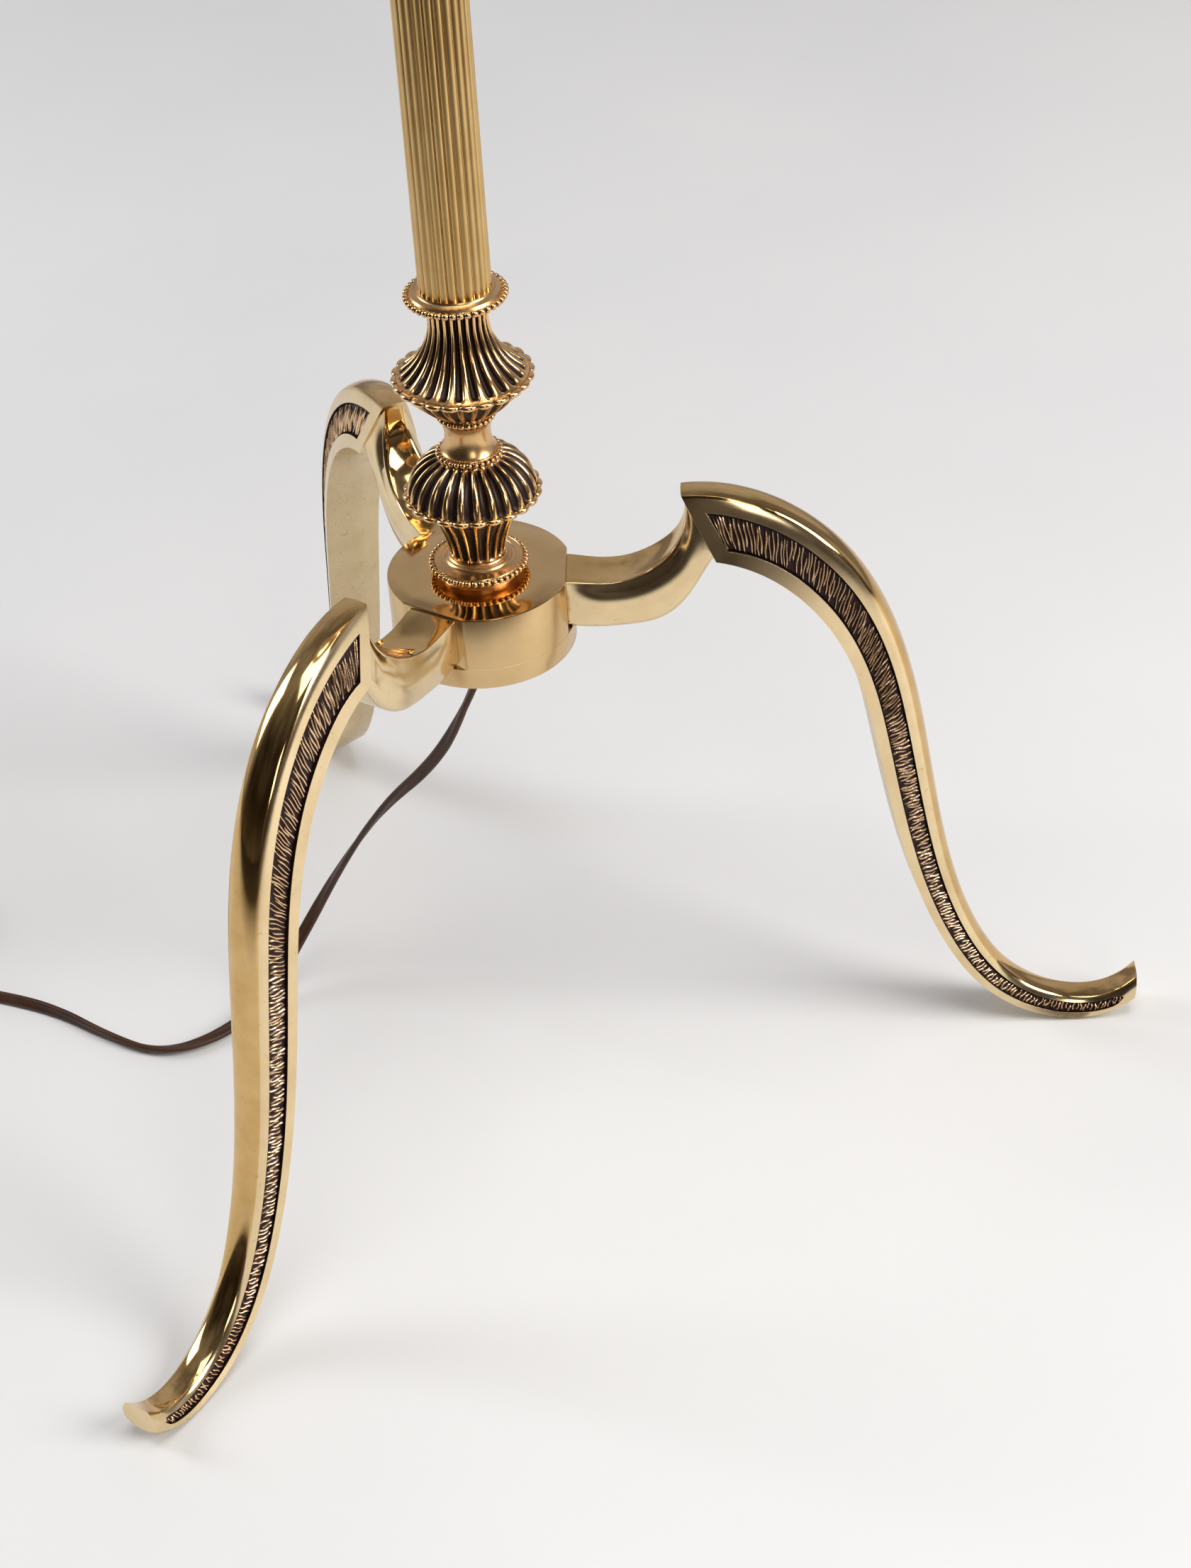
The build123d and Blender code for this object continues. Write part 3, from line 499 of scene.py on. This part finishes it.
def collar(name, foot, top, stands_for, upside=False):
    """A thin disc with a beaded edge, as at each end of the column."""
    line = [(BORE, top), (BORE, foot), (15.8, foot), (17.8, foot + 1.2)]
    line += arc((17.8, foot + 1.2), (18.5, foot + 2.4), (18.2, foot + 3.4), 5)
    line += [(18.0, foot + 3.7), (17.6, foot + 4.3), (15.8, foot + 4.7), (15.4, foot + 5.1), (15.2, top)]
    if upside:
        line = [(r, top - (z - foot)) for r, z in line]
    made = Shape()
    turned(made, line, 168)
    beads(made, 19.3, (top - 2.4) if upside else foot + 2.4, 42, 1.38, 1)
    return piece(name, made, stack, stands_for=[stands_for])


collar("beaded_collar_foot", 374.2, 380.0, "lower_collar")
collar("beaded_collar_top", 1150.0, 1156.6, "upper_collar", upside=True)

vase_line = [(10.0, 1190.0), (BORE, 1190.0), (BORE, 1156.6), (11.0, 1156.6)]
vase_line += arc((11.0, 1156.6), (13.0, 1166.0), (19.6, 1176.0), 18)
vase_line += [(20.2, 1177.4)] + arc((20.2, 1178.6), (17.2, 1185.6), (10.2, 1189.9), 14)
vase = Shape()
turned(vase, vase_line, 20 * 16, 1, rib_carve(20, 3, 36, 1.4, (0.52, 0.52), 3.0, 0.05))
lobed_rim(vase, 19.9, 1177.5, 20, 1.1, 0.8, 1)
piece("fluted_vase", vase, stack, stands_for=["vase"])


# ---------------------------------------------------------------- hub
LEG_ANGLES = {"leg_right": 0.0, "leg_back": 116.5, "leg_front_left": 240.0}


def hub_rows():
    """The hub's outline at each level: round below the ledge, with three flats above it."""
    flat, radius, ledge = 35.5, 38.16, 225.75
    reach = math.acos(flat / radius)
    around = []
    middles = [math.radians(angle) for angle in LEG_ANGLES.values()]
    for middle, following in zip(middles, middles[1:] + [math.tau]):
        around += list(np.linspace(middle - reach, middle + reach, 9))
        around += list(np.linspace(middle + reach, following - reach, 33)[1:-1])
    around = np.array(around)
    off = np.min([np.abs((around - middle + math.pi) % math.tau - math.pi) for middle in middles], axis=0)
    cut = np.where(off <= reach + 1e-6, flat / np.cos(off), radius)
    full = np.full_like(around, 38.2)
    hollow, bore = full * 0 + 24.0, full * 0 + BORE
    rows = [(hollow, 216.4), (full - 0.6, 216.4), (full - 0.18, 216.58), (full, 217.0), (full, ledge)]
    rows += [(cut, ledge + 0.02), (cut, 249.5), (cut - 0.15, 249.85), (cut - 0.5, 250.0)]
    rows += [(cut * 0.7, 250.0), (bore, 250.0), (bore, 243.0), (hollow, 243.0)]
    return np.array([[(r * math.cos(a), r * math.sin(a), z) for r, a in zip(radii, around)]
                     for radii, z in rows])


TOP_ROWS = range(6, 10)
hub = Shape()
rows = hub_rows()
row_slots = [1 if k in TOP_ROWS else 0 for k in range(len(rows))]
hub.grid(rows, wrap_rows=True, slots=np.array(row_slots)[:, None])
piece("round_hub", hub, (hub_side_metal, hub_top_metal), stands_for=["hub"], sharp=32)


# ---------------------------------------------------------------- legs
OUTER_LINE = np.array([(83.5, 285.0), (117.2, 279.4), (150.4, 253.6), (172.8, 209.0), (183.8, 158.4),
                       (193.6, 101.0), (208.6, 52.0), (231.5, 20.0), (258.4, 9.8), (282.0, 22.0)])
LOWER_LINE = np.array([(97.0, 258.0), (117.8, 249.6), (141.8, 225.0), (157.5, 188.0), (164.3, 156.4),
                       (176.6, 99.0), (193.6, 52.0), (221.6, 14.0), (256.2, 1.2), (281.5, 10.0)])
TOE_STATION = 9  # stations count the points of both lines, from 0 at the shoulder
RECESS_DEPTH = 1.5
RECESS_TOP = 0.245  # shares of the side, from its outer face
# the outer face's half width and crown at some stations, and where its columns of points are
FACE_STATIONS = [0, 0.7, 1.8, 3.6, 5.2, 6.6, 8.0, 9.0]
FACE_HALF = [5.4, 6.6, 7.6, 7.6, 6.5, 5.2, 5.4, 5.6]
FACE_CROWN = [0.5, 1.4, 2.2, 2.2, 1.8, 1.2, 0.7, 0.6]
FACE_SHARES = (-0.93, -0.8, -0.6, -0.3, 0.0, 0.3, 0.6, 0.8, 0.93)
RECESS_END = 8.76
RIDGE_PITCH = 1.75
# each ridge's skew, height, half width, centring, length and waviness
RIDGE_RANGES = [(-0.8, 0.8), (0.75, 1.0), (0.36, 0.50), (-0.22, 0.22), (0.75, 1.35), (0, 6.3)]
# across a side: the part that each column of points is in, and its share of that part
SIDE_COLUMNS = [("rim", 0.0), ("rim", 0.14), ("rim", 0.32), ("rim", 0.6), ("edge", 0.0), ("floor", 0.0),
                ("floor", 0.5), ("floor", 1.0), ("edge", 1.0), ("rear", 0.5), ("rear", 1.0)]
SIDE_SLOTS = [0, 1, 1, 1, 2, 2, 2, 2, 1, 1, 3]
REAR_SLOTS = [3, 3, 3]


def line_at(line, station):
    """Points of a smooth line through the given points, at these stations."""
    at = np.concatenate([[0], np.cumsum(np.linalg.norm(np.diff(line, axis=0), axis=1))])
    return cubic(at, line, np.interp(station, np.arange(len(line)), at))


def toe_share(station):
    """How far a station is into the toe, from 0 to 1."""
    return np.clip((station - 8.1) / 0.9, 0, 1)


def recess_limits(station):
    """Where the recess starts and ends across the side: rounded at the toe."""
    top = np.full_like(station, RECESS_TOP)
    bottom = 0.735 + 0.065 * np.exp(-np.clip(station - 0.3, 0, None) / 0.6)
    near_end = np.clip((station - (RECESS_END - 0.22)) / 0.22, 0, 1)
    half = (bottom - top) / 2 * np.sqrt(np.clip(1 - near_end**2, 0, 1))
    middle = (bottom + top) / 2
    return middle - half, middle + half


def side_points(station, across, side):
    """Points of a leg's side: across is 0 at the outer face and 1 at the rear."""
    outer, lower = line_at(OUTER_LINE, station), line_at(LOWER_LINE, station)
    crown = np.interp(station, FACE_STATIONS, FACE_CROWN)
    outer = outer + (lower - outer) / np.linalg.norm(lower - outer, axis=1)[:, None] * (crown * 0.6)[:, None]
    toe = toe_share(station)
    wide = 13.6 - 4.6 * (station / TOE_STATION) ** 2 - 1.6 * toe**2
    narrow = np.interp(station, FACE_STATIONS, FACE_HALF)
    rolled = crown * 0.45 * np.clip(1 - across / 0.13, 0, 1) ** 2
    wide = narrow + (wide - narrow) * across - rolled + (0.35 + 1.3 * toe) * np.sin(np.pi * across)
    flat = outer * (1 - across)[:, None] + lower * across[:, None]
    return np.stack([flat[:, 0], side * wide, flat[:, 1]], -1)


def side_surface(station, across, side, depth):
    """side_points, moved in by depth along the side's normal."""
    step = 0.01
    middle = side_points(station, across, side)
    further, nearer = (np.clip(station + shift, 0, TOE_STATION) for shift in (step, -step))
    inward, outward = (np.clip(across + shift, 0, 1) for shift in (step, -step))
    along = side_points(further, across, side) - side_points(nearer, across, side)
    over = side_points(station, inward, side) - side_points(station, outward, side)
    normal = np.cross(along, over)
    normal /= np.linalg.norm(normal, axis=1)[:, None]
    normal *= np.sign(normal[:, 1:2]) * side
    return middle - normal * depth[:, None]


def start_station(across):
    """The recess's slanted start, parallel to the leg's inner end."""
    return 0.205 + 0.19 * np.clip(across - RECESS_TOP, 0, 0.56)


def leg_frame():
    """The casting's shell, with each face's slot: outer face, two recessed sides and the keeled rear."""
    places = np.concatenate([np.linspace(0, 1, 4), np.linspace(1, 2, 96), [2, 2.5, 3]])
    sunk = np.concatenate([np.zeros(4), np.ones(96), [0, 0, 0]]).astype(bool)
    count = len(places)

    def station_of(across):
        begin = start_station(across)
        return np.where(places <= 1, begin * places,
                        np.where(places <= 2, begin + (RECESS_END - begin) * (places - 1),
                                 RECESS_END + (TOE_STATION - RECESS_END) * (places - 2)))

    def side(direction):
        made = []
        for kind, value in SIDE_COLUMNS:
            guess = {"rim": value * RECESS_TOP, "rear": 0.8 + 0.2 * value}.get(kind, 0.25 + 0.5 * value)
            station = station_of(np.full(count, guess))
            top, bottom = recess_limits(station)
            if kind == "rim":
                across = top * value
            elif kind == "rear":
                across = bottom + (1 - bottom) * value
            else:
                across = top + (bottom - top) * value
            station = station_of(across)
            depth = np.where(sunk, RECESS_DEPTH, 0.0) if kind == "floor" else np.zeros(count)
            made.append(side_surface(station, across, direction, depth))
        return made

    station = station_of(np.zeros(count))
    outer = line_at(OUTER_LINE, station)
    inward = line_at(LOWER_LINE, station) - outer
    inward /= np.linalg.norm(inward, axis=1)[:, None]
    half, crown = (np.interp(station, FACE_STATIONS, values) for values in (FACE_HALF, FACE_CROWN))
    columns = []
    for share in FACE_SHARES:
        rise = outer - inward * (crown * (1 - abs(share) ** 2.2) - crown * 0.6)[:, None]
        columns.append(np.stack([rise[:, 0], (half - crown * 0.45) * share, rise[:, 1]], -1))
    columns += side(1)
    rear_station = station_of(np.ones(count))
    lower = line_at(LOWER_LINE, rear_station)
    inward = lower - line_at(OUTER_LINE, rear_station)
    inward /= np.linalg.norm(inward, axis=1)[:, None]
    toe = toe_share(rear_station)
    keel = lower + inward * (3.6 - 2.0 * rear_station / TOE_STATION + 0.8 * toe)[:, None]
    keel[:, 1] = np.maximum(keel[:, 1], 0.02)
    wide = columns[-1][:, 1]
    for share in (0.5, 0.0, -0.5):
        off = lower * abs(share) + keel * (1 - abs(share))
        off = off + inward * (0.9 * toe * abs(share) * 2)[:, None]
        off[:, 1] = np.maximum(off[:, 1], 0.02)
        columns.append(np.stack([off[:, 0], wide * share, off[:, 1]], -1))
    columns += side(-1)[::-1]
    slots = [0] * len(FACE_SHARES) + SIDE_SLOTS + REAR_SLOTS + SIDE_SLOTS[-2::-1] + [0]
    by_face = np.tile(slots, (count - 1, 1))
    plain = ~(sunk[:-1] | sunk[1:])
    by_face[plain] = np.where(by_face[plain] == 2, 1, by_face[plain])
    return np.stack(columns, 1), by_face


def ridge_panel(direction, seed):
    """The recess floor: crowded uneven ridges across it, as chiselled in the pattern."""
    chance = random.Random(seed)
    rows, columns = 1900, 13
    stations = np.linspace(0, TOE_STATION, 901)
    middle_line = (line_at(LOWER_LINE, stations) + line_at(OUTER_LINE, stations)) / 2
    run_at = np.concatenate([[0], np.cumsum(np.linalg.norm(np.diff(middle_line, axis=0), axis=1))])
    ridges, centre = [], run_at[20]
    while centre < run_at[-1]:
        ridges.append((centre, *(chance.uniform(least, most) for least, most in RIDGE_RANGES)))
        centre += chance.uniform(RIDGE_PITCH * 0.72, RIDGE_PITCH * 1.28)
    part = np.linspace(0, 1, rows)
    crests, heights, backs = [], [], []
    for v in np.linspace(0, 1, columns):
        begin = start_station(np.full(rows, 0.25 + 0.5 * v))
        station = begin + (RECESS_END - 0.004 - begin) * part
        top, bottom = recess_limits(station)
        across = top + (bottom - top) * (0.012 + 0.976 * v)
        run = np.interp(station, stations, run_at)
        height = np.zeros(rows)
        for middle, skew, tall, width, offset, length, wave in ridges:
            near = slice(*np.searchsorted(run, (middle - 3.2, middle + 3.2)))
            bend = middle + skew * (v - 0.5) + 0.28 * math.sin(v * 8 + wave)
            ends = 1 - min(1, abs(v - 0.5 - offset) / (0.5 * length)) ** 4
            hump = tall * ends * np.exp(-(((run[near] - bend) / width) ** 2) ** 1.3)
            height[near] = np.maximum(height[near], hump)
        height *= min(1.0, (v + 0.02) / 0.08, (1.02 - v) / 0.10)
        crests.append(side_surface(station, across, direction, RECESS_DEPTH - 0.06 - 1.1 * height))
        heights.append(height)
        if v in (0, 1):
            backs.insert(0, side_surface(station, across, direction, np.full(rows, RECESS_DEPTH + 0.3)))
    grid = np.stack(crests + backs, 1)
    # relief is the ridges' height: the hollows between ridges and the strips along the recess walls take the
    # dark colour, lacquer and painted shade
    relief = np.stack(heights + [np.zeros(rows)] * 2, 1)
    return grid, relief


ARM_TOP_LINE = [(35.6, 248.8), (44, 247.8), (52, 247.2), (60, 248.2), (68, 251.4), (75, 256.2), (80.4, 262.2),
                (83.8, 269.2), (85.0, 276.8), (84.2, 284.4)]
ARM_LOW_LINE = [(35.6, 225.8), (44, 224.7), (52, 224.6), (60, 225.2), (68, 226.2), (75.6, 228.9),
                (82.4, 234.4), (88.2, 242.4), (92.8, 250.9), (97.2, 258.4)]
ARM_TOP_HALF = [11, 11, 11, 11, 10.9, 10.5, 9.5, 7.9, 6.2, 4.9]
ARM_LOW_HALF = [11, 11, 11, 11, 10.9, 10.7, 10.5, 10.5, 11.0, 11.8]


def arm_rows():
    """The arm from the hub to the horn: hollowed top, full sides and a rounded underside."""
    steps, belly, low_round = 60, 2.3, 4.8
    top, low = smooth_curve(ARM_TOP_LINE, steps), smooth_curve(ARM_LOW_LINE, steps)
    at = np.linspace(0, 9, steps + 1)
    top_half, low_half = np.interp(at, range(10), ARM_TOP_HALF), np.interp(at, range(10), ARM_LOW_HALF)
    for _ in range(3):
        top_half[1:-1] = (top_half[:-2] + top_half[1:-1] * 2 + top_half[2:]) / 4
        low_half[1:-1] = (low_half[:-2] + low_half[1:-1] * 2 + low_half[2:]) / 4
    rows = []
    for i in range(steps + 1):
        drop = low[i] - top[i]
        tall = np.linalg.norm(drop)
        drop = drop / tall
        part = i / steps
        soft = min(1.0, max(0.0, (part - 0.25) / 0.45))
        top_round = 0.5 + 2.2 * soft
        full = belly * math.sin(math.pi / 2 * min(1.0, part / 0.22, (1 - part) / 0.22))
        dip = 1.0 * math.sin(math.pi * min(1.0, part * 1.1))
        half, edge = top_half[i], low_half[i]
        quarter = np.linspace(0, math.pi / 2, 6)
        one_side = [(0.0, dip), (0.45 * half, 0.75 * dip)]
        half -= 0.8 * full / belly
        one_side += [(half - top_round * (1 - math.sin(t)), top_round * (1 - math.cos(t))) for t in quarter]
        for share in (0.15, 0.3, 0.45, 0.6, 0.8):
            level = top_round + (tall - low_round - top_round) * share
            one_side.append((half + (edge - half) * share + full * math.sin(math.pi * share**0.9), level))
        one_side += [(edge - low_round * (1 - math.cos(t)), tall - low_round * (1 - math.sin(t)))
                     for t in quarter]
        one_side.append((0.0, tall))
        section = one_side + [(-x, y) for x, y in one_side[-2:0:-1]]
        rows.append([(top[i][0] + drop[0] * y, x, top[i][1] + drop[1] * y) for x, y in section])
    count = len(rows[0])
    slots = [0 if k < 4 or k >= count - 4 else 1 for k in range(count)]
    return np.array(rows), slots


def turn_rows(rows, angle):
    """A grid of points turned about the column by an angle in degrees."""
    c, s = math.cos(math.radians(angle)), math.sin(math.radians(angle))
    turned_rows = rows.copy()
    turned_rows[..., 0] = rows[..., 0] * c - rows[..., 1] * s
    turned_rows[..., 1] = rows[..., 0] * s + rows[..., 1] * c
    return turned_rows


frame_grid, frame_slots = leg_frame()
arm_grid, arm_slots = arm_rows()
for number, (leg_name, angle) in enumerate(LEG_ANGLES.items()):
    casting = Shape()
    # relief 0: the recess walls and floor (slot 2) take the ribbed material's near-black, painted shade in
    # the recess over its lacquer
    casting.grid(turn_rows(frame_grid, angle), slots=frame_slots, relief=0.0, caps=1)
    casting.grid(turn_rows(arm_grid, angle), slots=arm_slots, caps=1)
    piece(leg_name + "_casting", casting, (polished, satin_painted_highlight, panel_metal, rear_satin), stands_for=[leg_name],
          bevel=0.35, sharp=28)
    panels = Shape()
    for direction in (1, -1):
        grid, relief = ridge_panel(direction, 10 * number + direction)
        panels.grid(turn_rows(grid, angle), relief=relief, caps=0)
    piece(leg_name + "_ridges", panels, (panel_metal,), sharp=180, weld=0.0005)


# ---------------------------------------------------------------- cord
COIL_CENTRE = (-313.5, 77.6)
TAIL_X = -352.8
WIDE, THICK = 5.6, 2.8
CORD_LAID = [
    (-4.5, 0.8, 196), (-13.5, 3.05, 172.75), (-29, 12, 141), (-56, 25, 107), (-80, 37, 64), (-100, 38, 27),
    (-118, 17, 3.4), (-136, -8, 2.8), (-162, -20, 2.6), (-190, -8, 2.4), (-220, 13, 2.2), (-255, 25, 1.8),
    (-290, 33, 2.4), (-316, 38.4, 2.8),
]
coil_turns, coil_points = 79 / 360 + 6, 14 * 6 + 3
for k in range(1, coil_points + 1):
    part = k / coil_points
    angle = math.radians(-101) - part * coil_turns * math.tau
    radius = 39.3 - 11.6 * (1 - abs(2 * part - 1))
    layer = 2.8 + 5.7 / (1 + math.exp(-(part - 0.5) * 60))
    CORD_LAID.append((COIL_CENTRE[0] + radius * math.cos(angle),
                      COIL_CENTRE[1] + radius * math.sin(angle), layer))
CORD_LAID += [(TAIL_X - 0.2, 90.0, 7.6), (TAIL_X + 1.0, 104.0, 7.0), (TAIL_X + 1.6, 120.4, 7.0)]

route = bpy.data.curves.new("cord_route", "CURVE")
route.dimensions = "3D"
route.resolution_u = 12
spline = route.splines.new("NURBS")
spline.points.add(len(CORD_LAID) - 1)
for point, laid in zip(spline.points, CORD_LAID):
    point.co = (*(c * MM for c in laid), 1)
spline.order_u = 3
spline.use_endpoint_u = True
route_object = bpy.data.objects.new("cord_route", route)
line_mesh = bpy.data.meshes.new_from_object(route_object)
cord_line = np.array([v.co for v in line_mesh.vertices]) / MM
bpy.data.objects.remove(route_object)


def flat_cord(line):
    """Two round conductors side by side: hanging it shows its edge and its face by turns."""
    run = np.concatenate([[0], np.cumsum(np.linalg.norm(np.diff(line, axis=0), axis=1))])
    tangent = np.gradient(line, axis=0)
    tangent /= np.linalg.norm(tangent, axis=1)[:, None]
    level = np.cross(tangent, (0, 0, 1.0))
    size = np.linalg.norm(level, axis=1)
    level /= np.maximum(size, 1e-6)[:, None]
    above = np.cross(level, tangent)
    lean = np.radians(np.interp(run, [0, 20, 45, 75, 115, 150, 190, 230, 262, 290, 330, 370, 405, 430],
                                [20, 15, 75, 100, 170, 195, 230, 215, 205, 150, 95, 60, 80, 90]))
    broad = np.cos(lean)[:, None] * level + np.sin(lean)[:, None] * above
    flat = np.cross(tangent, broad)
    half = (WIDE - THICK) / 2
    section = []
    for sign in (1, -1):
        for t in np.radians(np.linspace(-122, 122, 11)):
            section.append((sign * (half + THICK / 2 * math.cos(t)), sign * THICK / 2 * math.sin(t)))
    tube = np.stack([line + broad * a + flat * b for a, b in section], 1)
    tube[..., 2] += np.maximum(0, 0.05 - tube[..., 2].min(axis=1))[:, None]
    return tube


cord_shape = Shape()
cord_shape.grid(flat_cord(cord_line), caps=0)
cord_piece = piece("flat_cord", cord_shape, (cord_pvc,), stands_for=["cord", "cord_coil", "cord_tail"],
                   sharp=50, weld=0.0005)


def coil_tie(angle):
    """A strap round the coil's section, flattened where it lies on the floor and on the top turns."""
    middle, half_wide = 33.5, 8.5
    c, s = math.cos(math.radians(angle)), math.sin(math.radians(angle))
    rows = []
    for t in np.linspace(0, math.tau, 33)[:-1]:
        out = math.cos(t)
        z = min(max(5.75 + 5.3 * math.sin(t), 0.45), 11.35)
        ring = []
        for a, b in ((-1.6, -0.3), (1.6, -0.3), (1.6, 0.3), (-1.6, 0.3)):
            away = middle + half_wide * out + out * b
            rise = b * 0.5 if abs(out) < 0.9 else 0
            ring.append((COIL_CENTRE[0] + away * c - a * s, COIL_CENTRE[1] + away * s + a * c, z + rise))
        rows.append(ring)
    strap = Shape()
    strap.grid(rows, wrap_rows=True)
    return strap


for number, angle in enumerate((20, 200)):
    piece(f"cord_tie_{number + 1}", coil_tie(angle), (bakelite,), sharp=40)


# ---------------------------------------------------------------- shade
SHADE_FOOT, SHADE_TOP = 1182.0, 1437.0
FOOT_RADIUS, TOP_RADIUS = 203.0, 114.0
HEM = 10.0


def shade_wall(low, high, outward, wall, steps=4):
    """A conical band of cloth between two heights, this far outside the shade's own wall."""
    def radius(z):
        share = (z - SHADE_FOOT) / (SHADE_TOP - SHADE_FOOT)
        return FOOT_RADIUS - (FOOT_RADIUS - TOP_RADIUS) * share + outward
    heights = np.linspace(low, high, steps)
    line = [(radius(z), z) for z in heights] + [(radius(z) - wall, z) for z in heights[::-1]]
    made = Shape()
    turned(made, line, 180)
    return made


cover = piece("shade_cover_cloth", shade_wall(SHADE_FOOT, SHADE_TOP, 0.0, 0.9, 12), (shade_cloth,),
              body="shade", stands_for=["shade_cover"], sharp=50)
hem_low = piece("shade_hem_low", shade_wall(SHADE_FOOT, SHADE_FOOT + HEM, 0.7, 0.65), (shade_trim,),
                body="shade", sharp=50)
hem_high = piece("shade_hem_high", shade_wall(SHADE_TOP - HEM, SHADE_TOP, 0.7, 0.65), (shade_trim,),
                 body="shade", sharp=50)


# ---------------------------------------------------------------- CAD pieces that stay
STAYING = {
    column_metal: ["column"],
    turned_metal: ["neck", "finial"],
    brassed: ["hub_cover", "harp_saddle", "harp", "harp_sleeves", "harp_crown", "socket_cap",
              "socket_shell", "shade_spider", "shade_bottom_ring"],
    steel: ["lamp_pipe", "hub_washer", "hub_nut", "leg_bolts"],
    contact_metal: ["screw_shell", "centre_contact", "switch_shaft", "plug_blades"],
    bakelite: ["socket_core", "switch_knob"],
    liner_board: ["socket_liner"],
    bulb_aluminium: ["bulb_base"],
    bulb_glass_material: ["bulb_glass"],
    cord_pvc: ["inner_cord", "strain_relief", "plug_body"],
}
for material, names in STAYING.items():
    for name in names:
        mesh = nodes[name].data
        mesh.materials.clear()
        mesh.materials.append(material)


# ---------------------------------------------------------------- floor and light
def floor_material():
    """Pale paper; darker in front, outside the picture, where only the brass reflects it: painted shade
    standing in for the dark room.
    """
    material, tree, shader = blank("pale_floor")
    at = place(tree)
    pale = ramp(tree, noise(tree, at, 3.0, 5.0), [(0.3, (0.80, 0.80, 0.805)), (0.7, (0.85, 0.85, 0.845))])
    split = tree.nodes.new("ShaderNodeSeparateXYZ")
    tree.links.new(at, split.inputs["Vector"])
    # painted shade: the floor turns near black towards the front, for the brass to reflect
    fade = tree.nodes.new("ShaderNodeMix")
    fade.data_type = "RGBA"
    tree.links.new(spread(tree, split.outputs["Y"], 0.0, 1.0, -1.05, -0.55), fade.inputs["Factor"])
    fade.inputs["A"].default_value = (0.05, 0.04, 0.035, 1)
    tree.links.new(pale, fade.inputs["B"])
    tree.links.new(fade.outputs["Result"], shader.inputs["Base Color"])
    shader.inputs["Roughness"].default_value = 0.55
    bump(tree, shader, noise(tree, at, 60.0, 4.0), 0.08, 0.0004)
    return material


floor_mesh = bpy.data.meshes.new("floor")
floor_mesh.from_pydata([(-6, -6, 0), (6, -6, 0), (6, 6, 0), (-6, 6, 0)], [], [(0, 1, 2, 3)])
floor_mesh.materials.append(floor_material())
floor = bpy.data.objects.new("floor", floor_mesh)
floor.location.z = -0.0003
scene.collection.objects.link(floor)

world = bpy.data.worlds.new("studio")
scene.world = world
world.use_nodes = True
sky = world.node_tree
direction = sky.nodes.new("ShaderNodeTexCoord").outputs["Generated"]
split = sky.nodes.new("ShaderNodeSeparateXYZ")
sky.links.new(direction, split.inputs["Vector"])
behind = ramp(sky, split.outputs["Z"], [
    (0.0, (0.46, 0.46, 0.48)), (0.30, (0.42, 0.42, 0.46)),
    (0.62, (0.38, 0.38, 0.41)), (1.0, (0.24, 0.24, 0.25)),
])
in_front = ramp(sky, split.outputs["Z"], [
    (0.0, (0.10, 0.085, 0.07)), (0.25, (0.035, 0.028, 0.024)),
    (0.60, (0.04, 0.034, 0.03)), (1.0, (0.24, 0.24, 0.25)),
])
room_mix = sky.nodes.new("ShaderNodeMix")
room_mix.data_type = "RGBA"
sky.links.new(spread(sky, split.outputs["Y"], 0.0, 1.0, -0.12, 0.30), room_mix.inputs["Factor"])
sky.links.new(in_front, room_mix.inputs["A"])
sky.links.new(behind, room_mix.inputs["B"])
room = room_mix.outputs["Result"]
patches = ramp(sky, noise(sky, direction, 1.7, 3.0), [(0.42, (0.55, 0.52, 0.50)), (0.58, (1.25, 1.22, 1.2))])
mixed = sky.nodes.new("ShaderNodeMix")
mixed.data_type = "RGBA"
mixed.blend_type = "MULTIPLY"
mixed.inputs["Factor"].default_value = 1.0
sky.links.new(room, mixed.inputs["A"])
sky.links.new(patches, mixed.inputs["B"])
sky.links.new(mixed.outputs["Result"], sky.nodes["Background"].inputs["Color"])
sky.nodes["Background"].inputs["Strength"].default_value = 1.0


def panel_light(name, at, towards, size, power, colour):
    """A soft rectangular light at a place, aimed at a point."""
    lamp = bpy.data.lights.new(name, "AREA")
    lamp.shape = "RECTANGLE"
    lamp.size, lamp.size_y = size
    lamp.energy = power
    lamp.color = colour
    made = bpy.data.objects.new(name, lamp)
    made.location = at
    made.rotation_euler = (Vector(towards) - Vector(at)).to_track_quat("-Z", "Y").to_euler()
    scene.collection.objects.link(made)


panel_light("window_right", (2.3, -0.9, 1.7), (0.0, 0.0, 0.2), (1.3, 1.6), 60, (1.0, 0.985, 0.96))
panel_light("window_left", (-2.2, 0.6, 1.5), (0.0, 0.0, 0.2), (0.8, 1.5), 25, (0.95, 0.97, 1.0))
panel_light("ceiling", (0.3, -0.4, 2.9), (0.0, 0.0, 0.0), (1.8, 1.4), 35, (1.0, 0.99, 0.97))
panel_light("front_fill", (0.9, -2.6, 1.1), (0.0, 0.0, 0.2), (0.7, 0.9), 8, (1.0, 0.97, 0.92))

scene.view_settings.view_transform = "Standard"
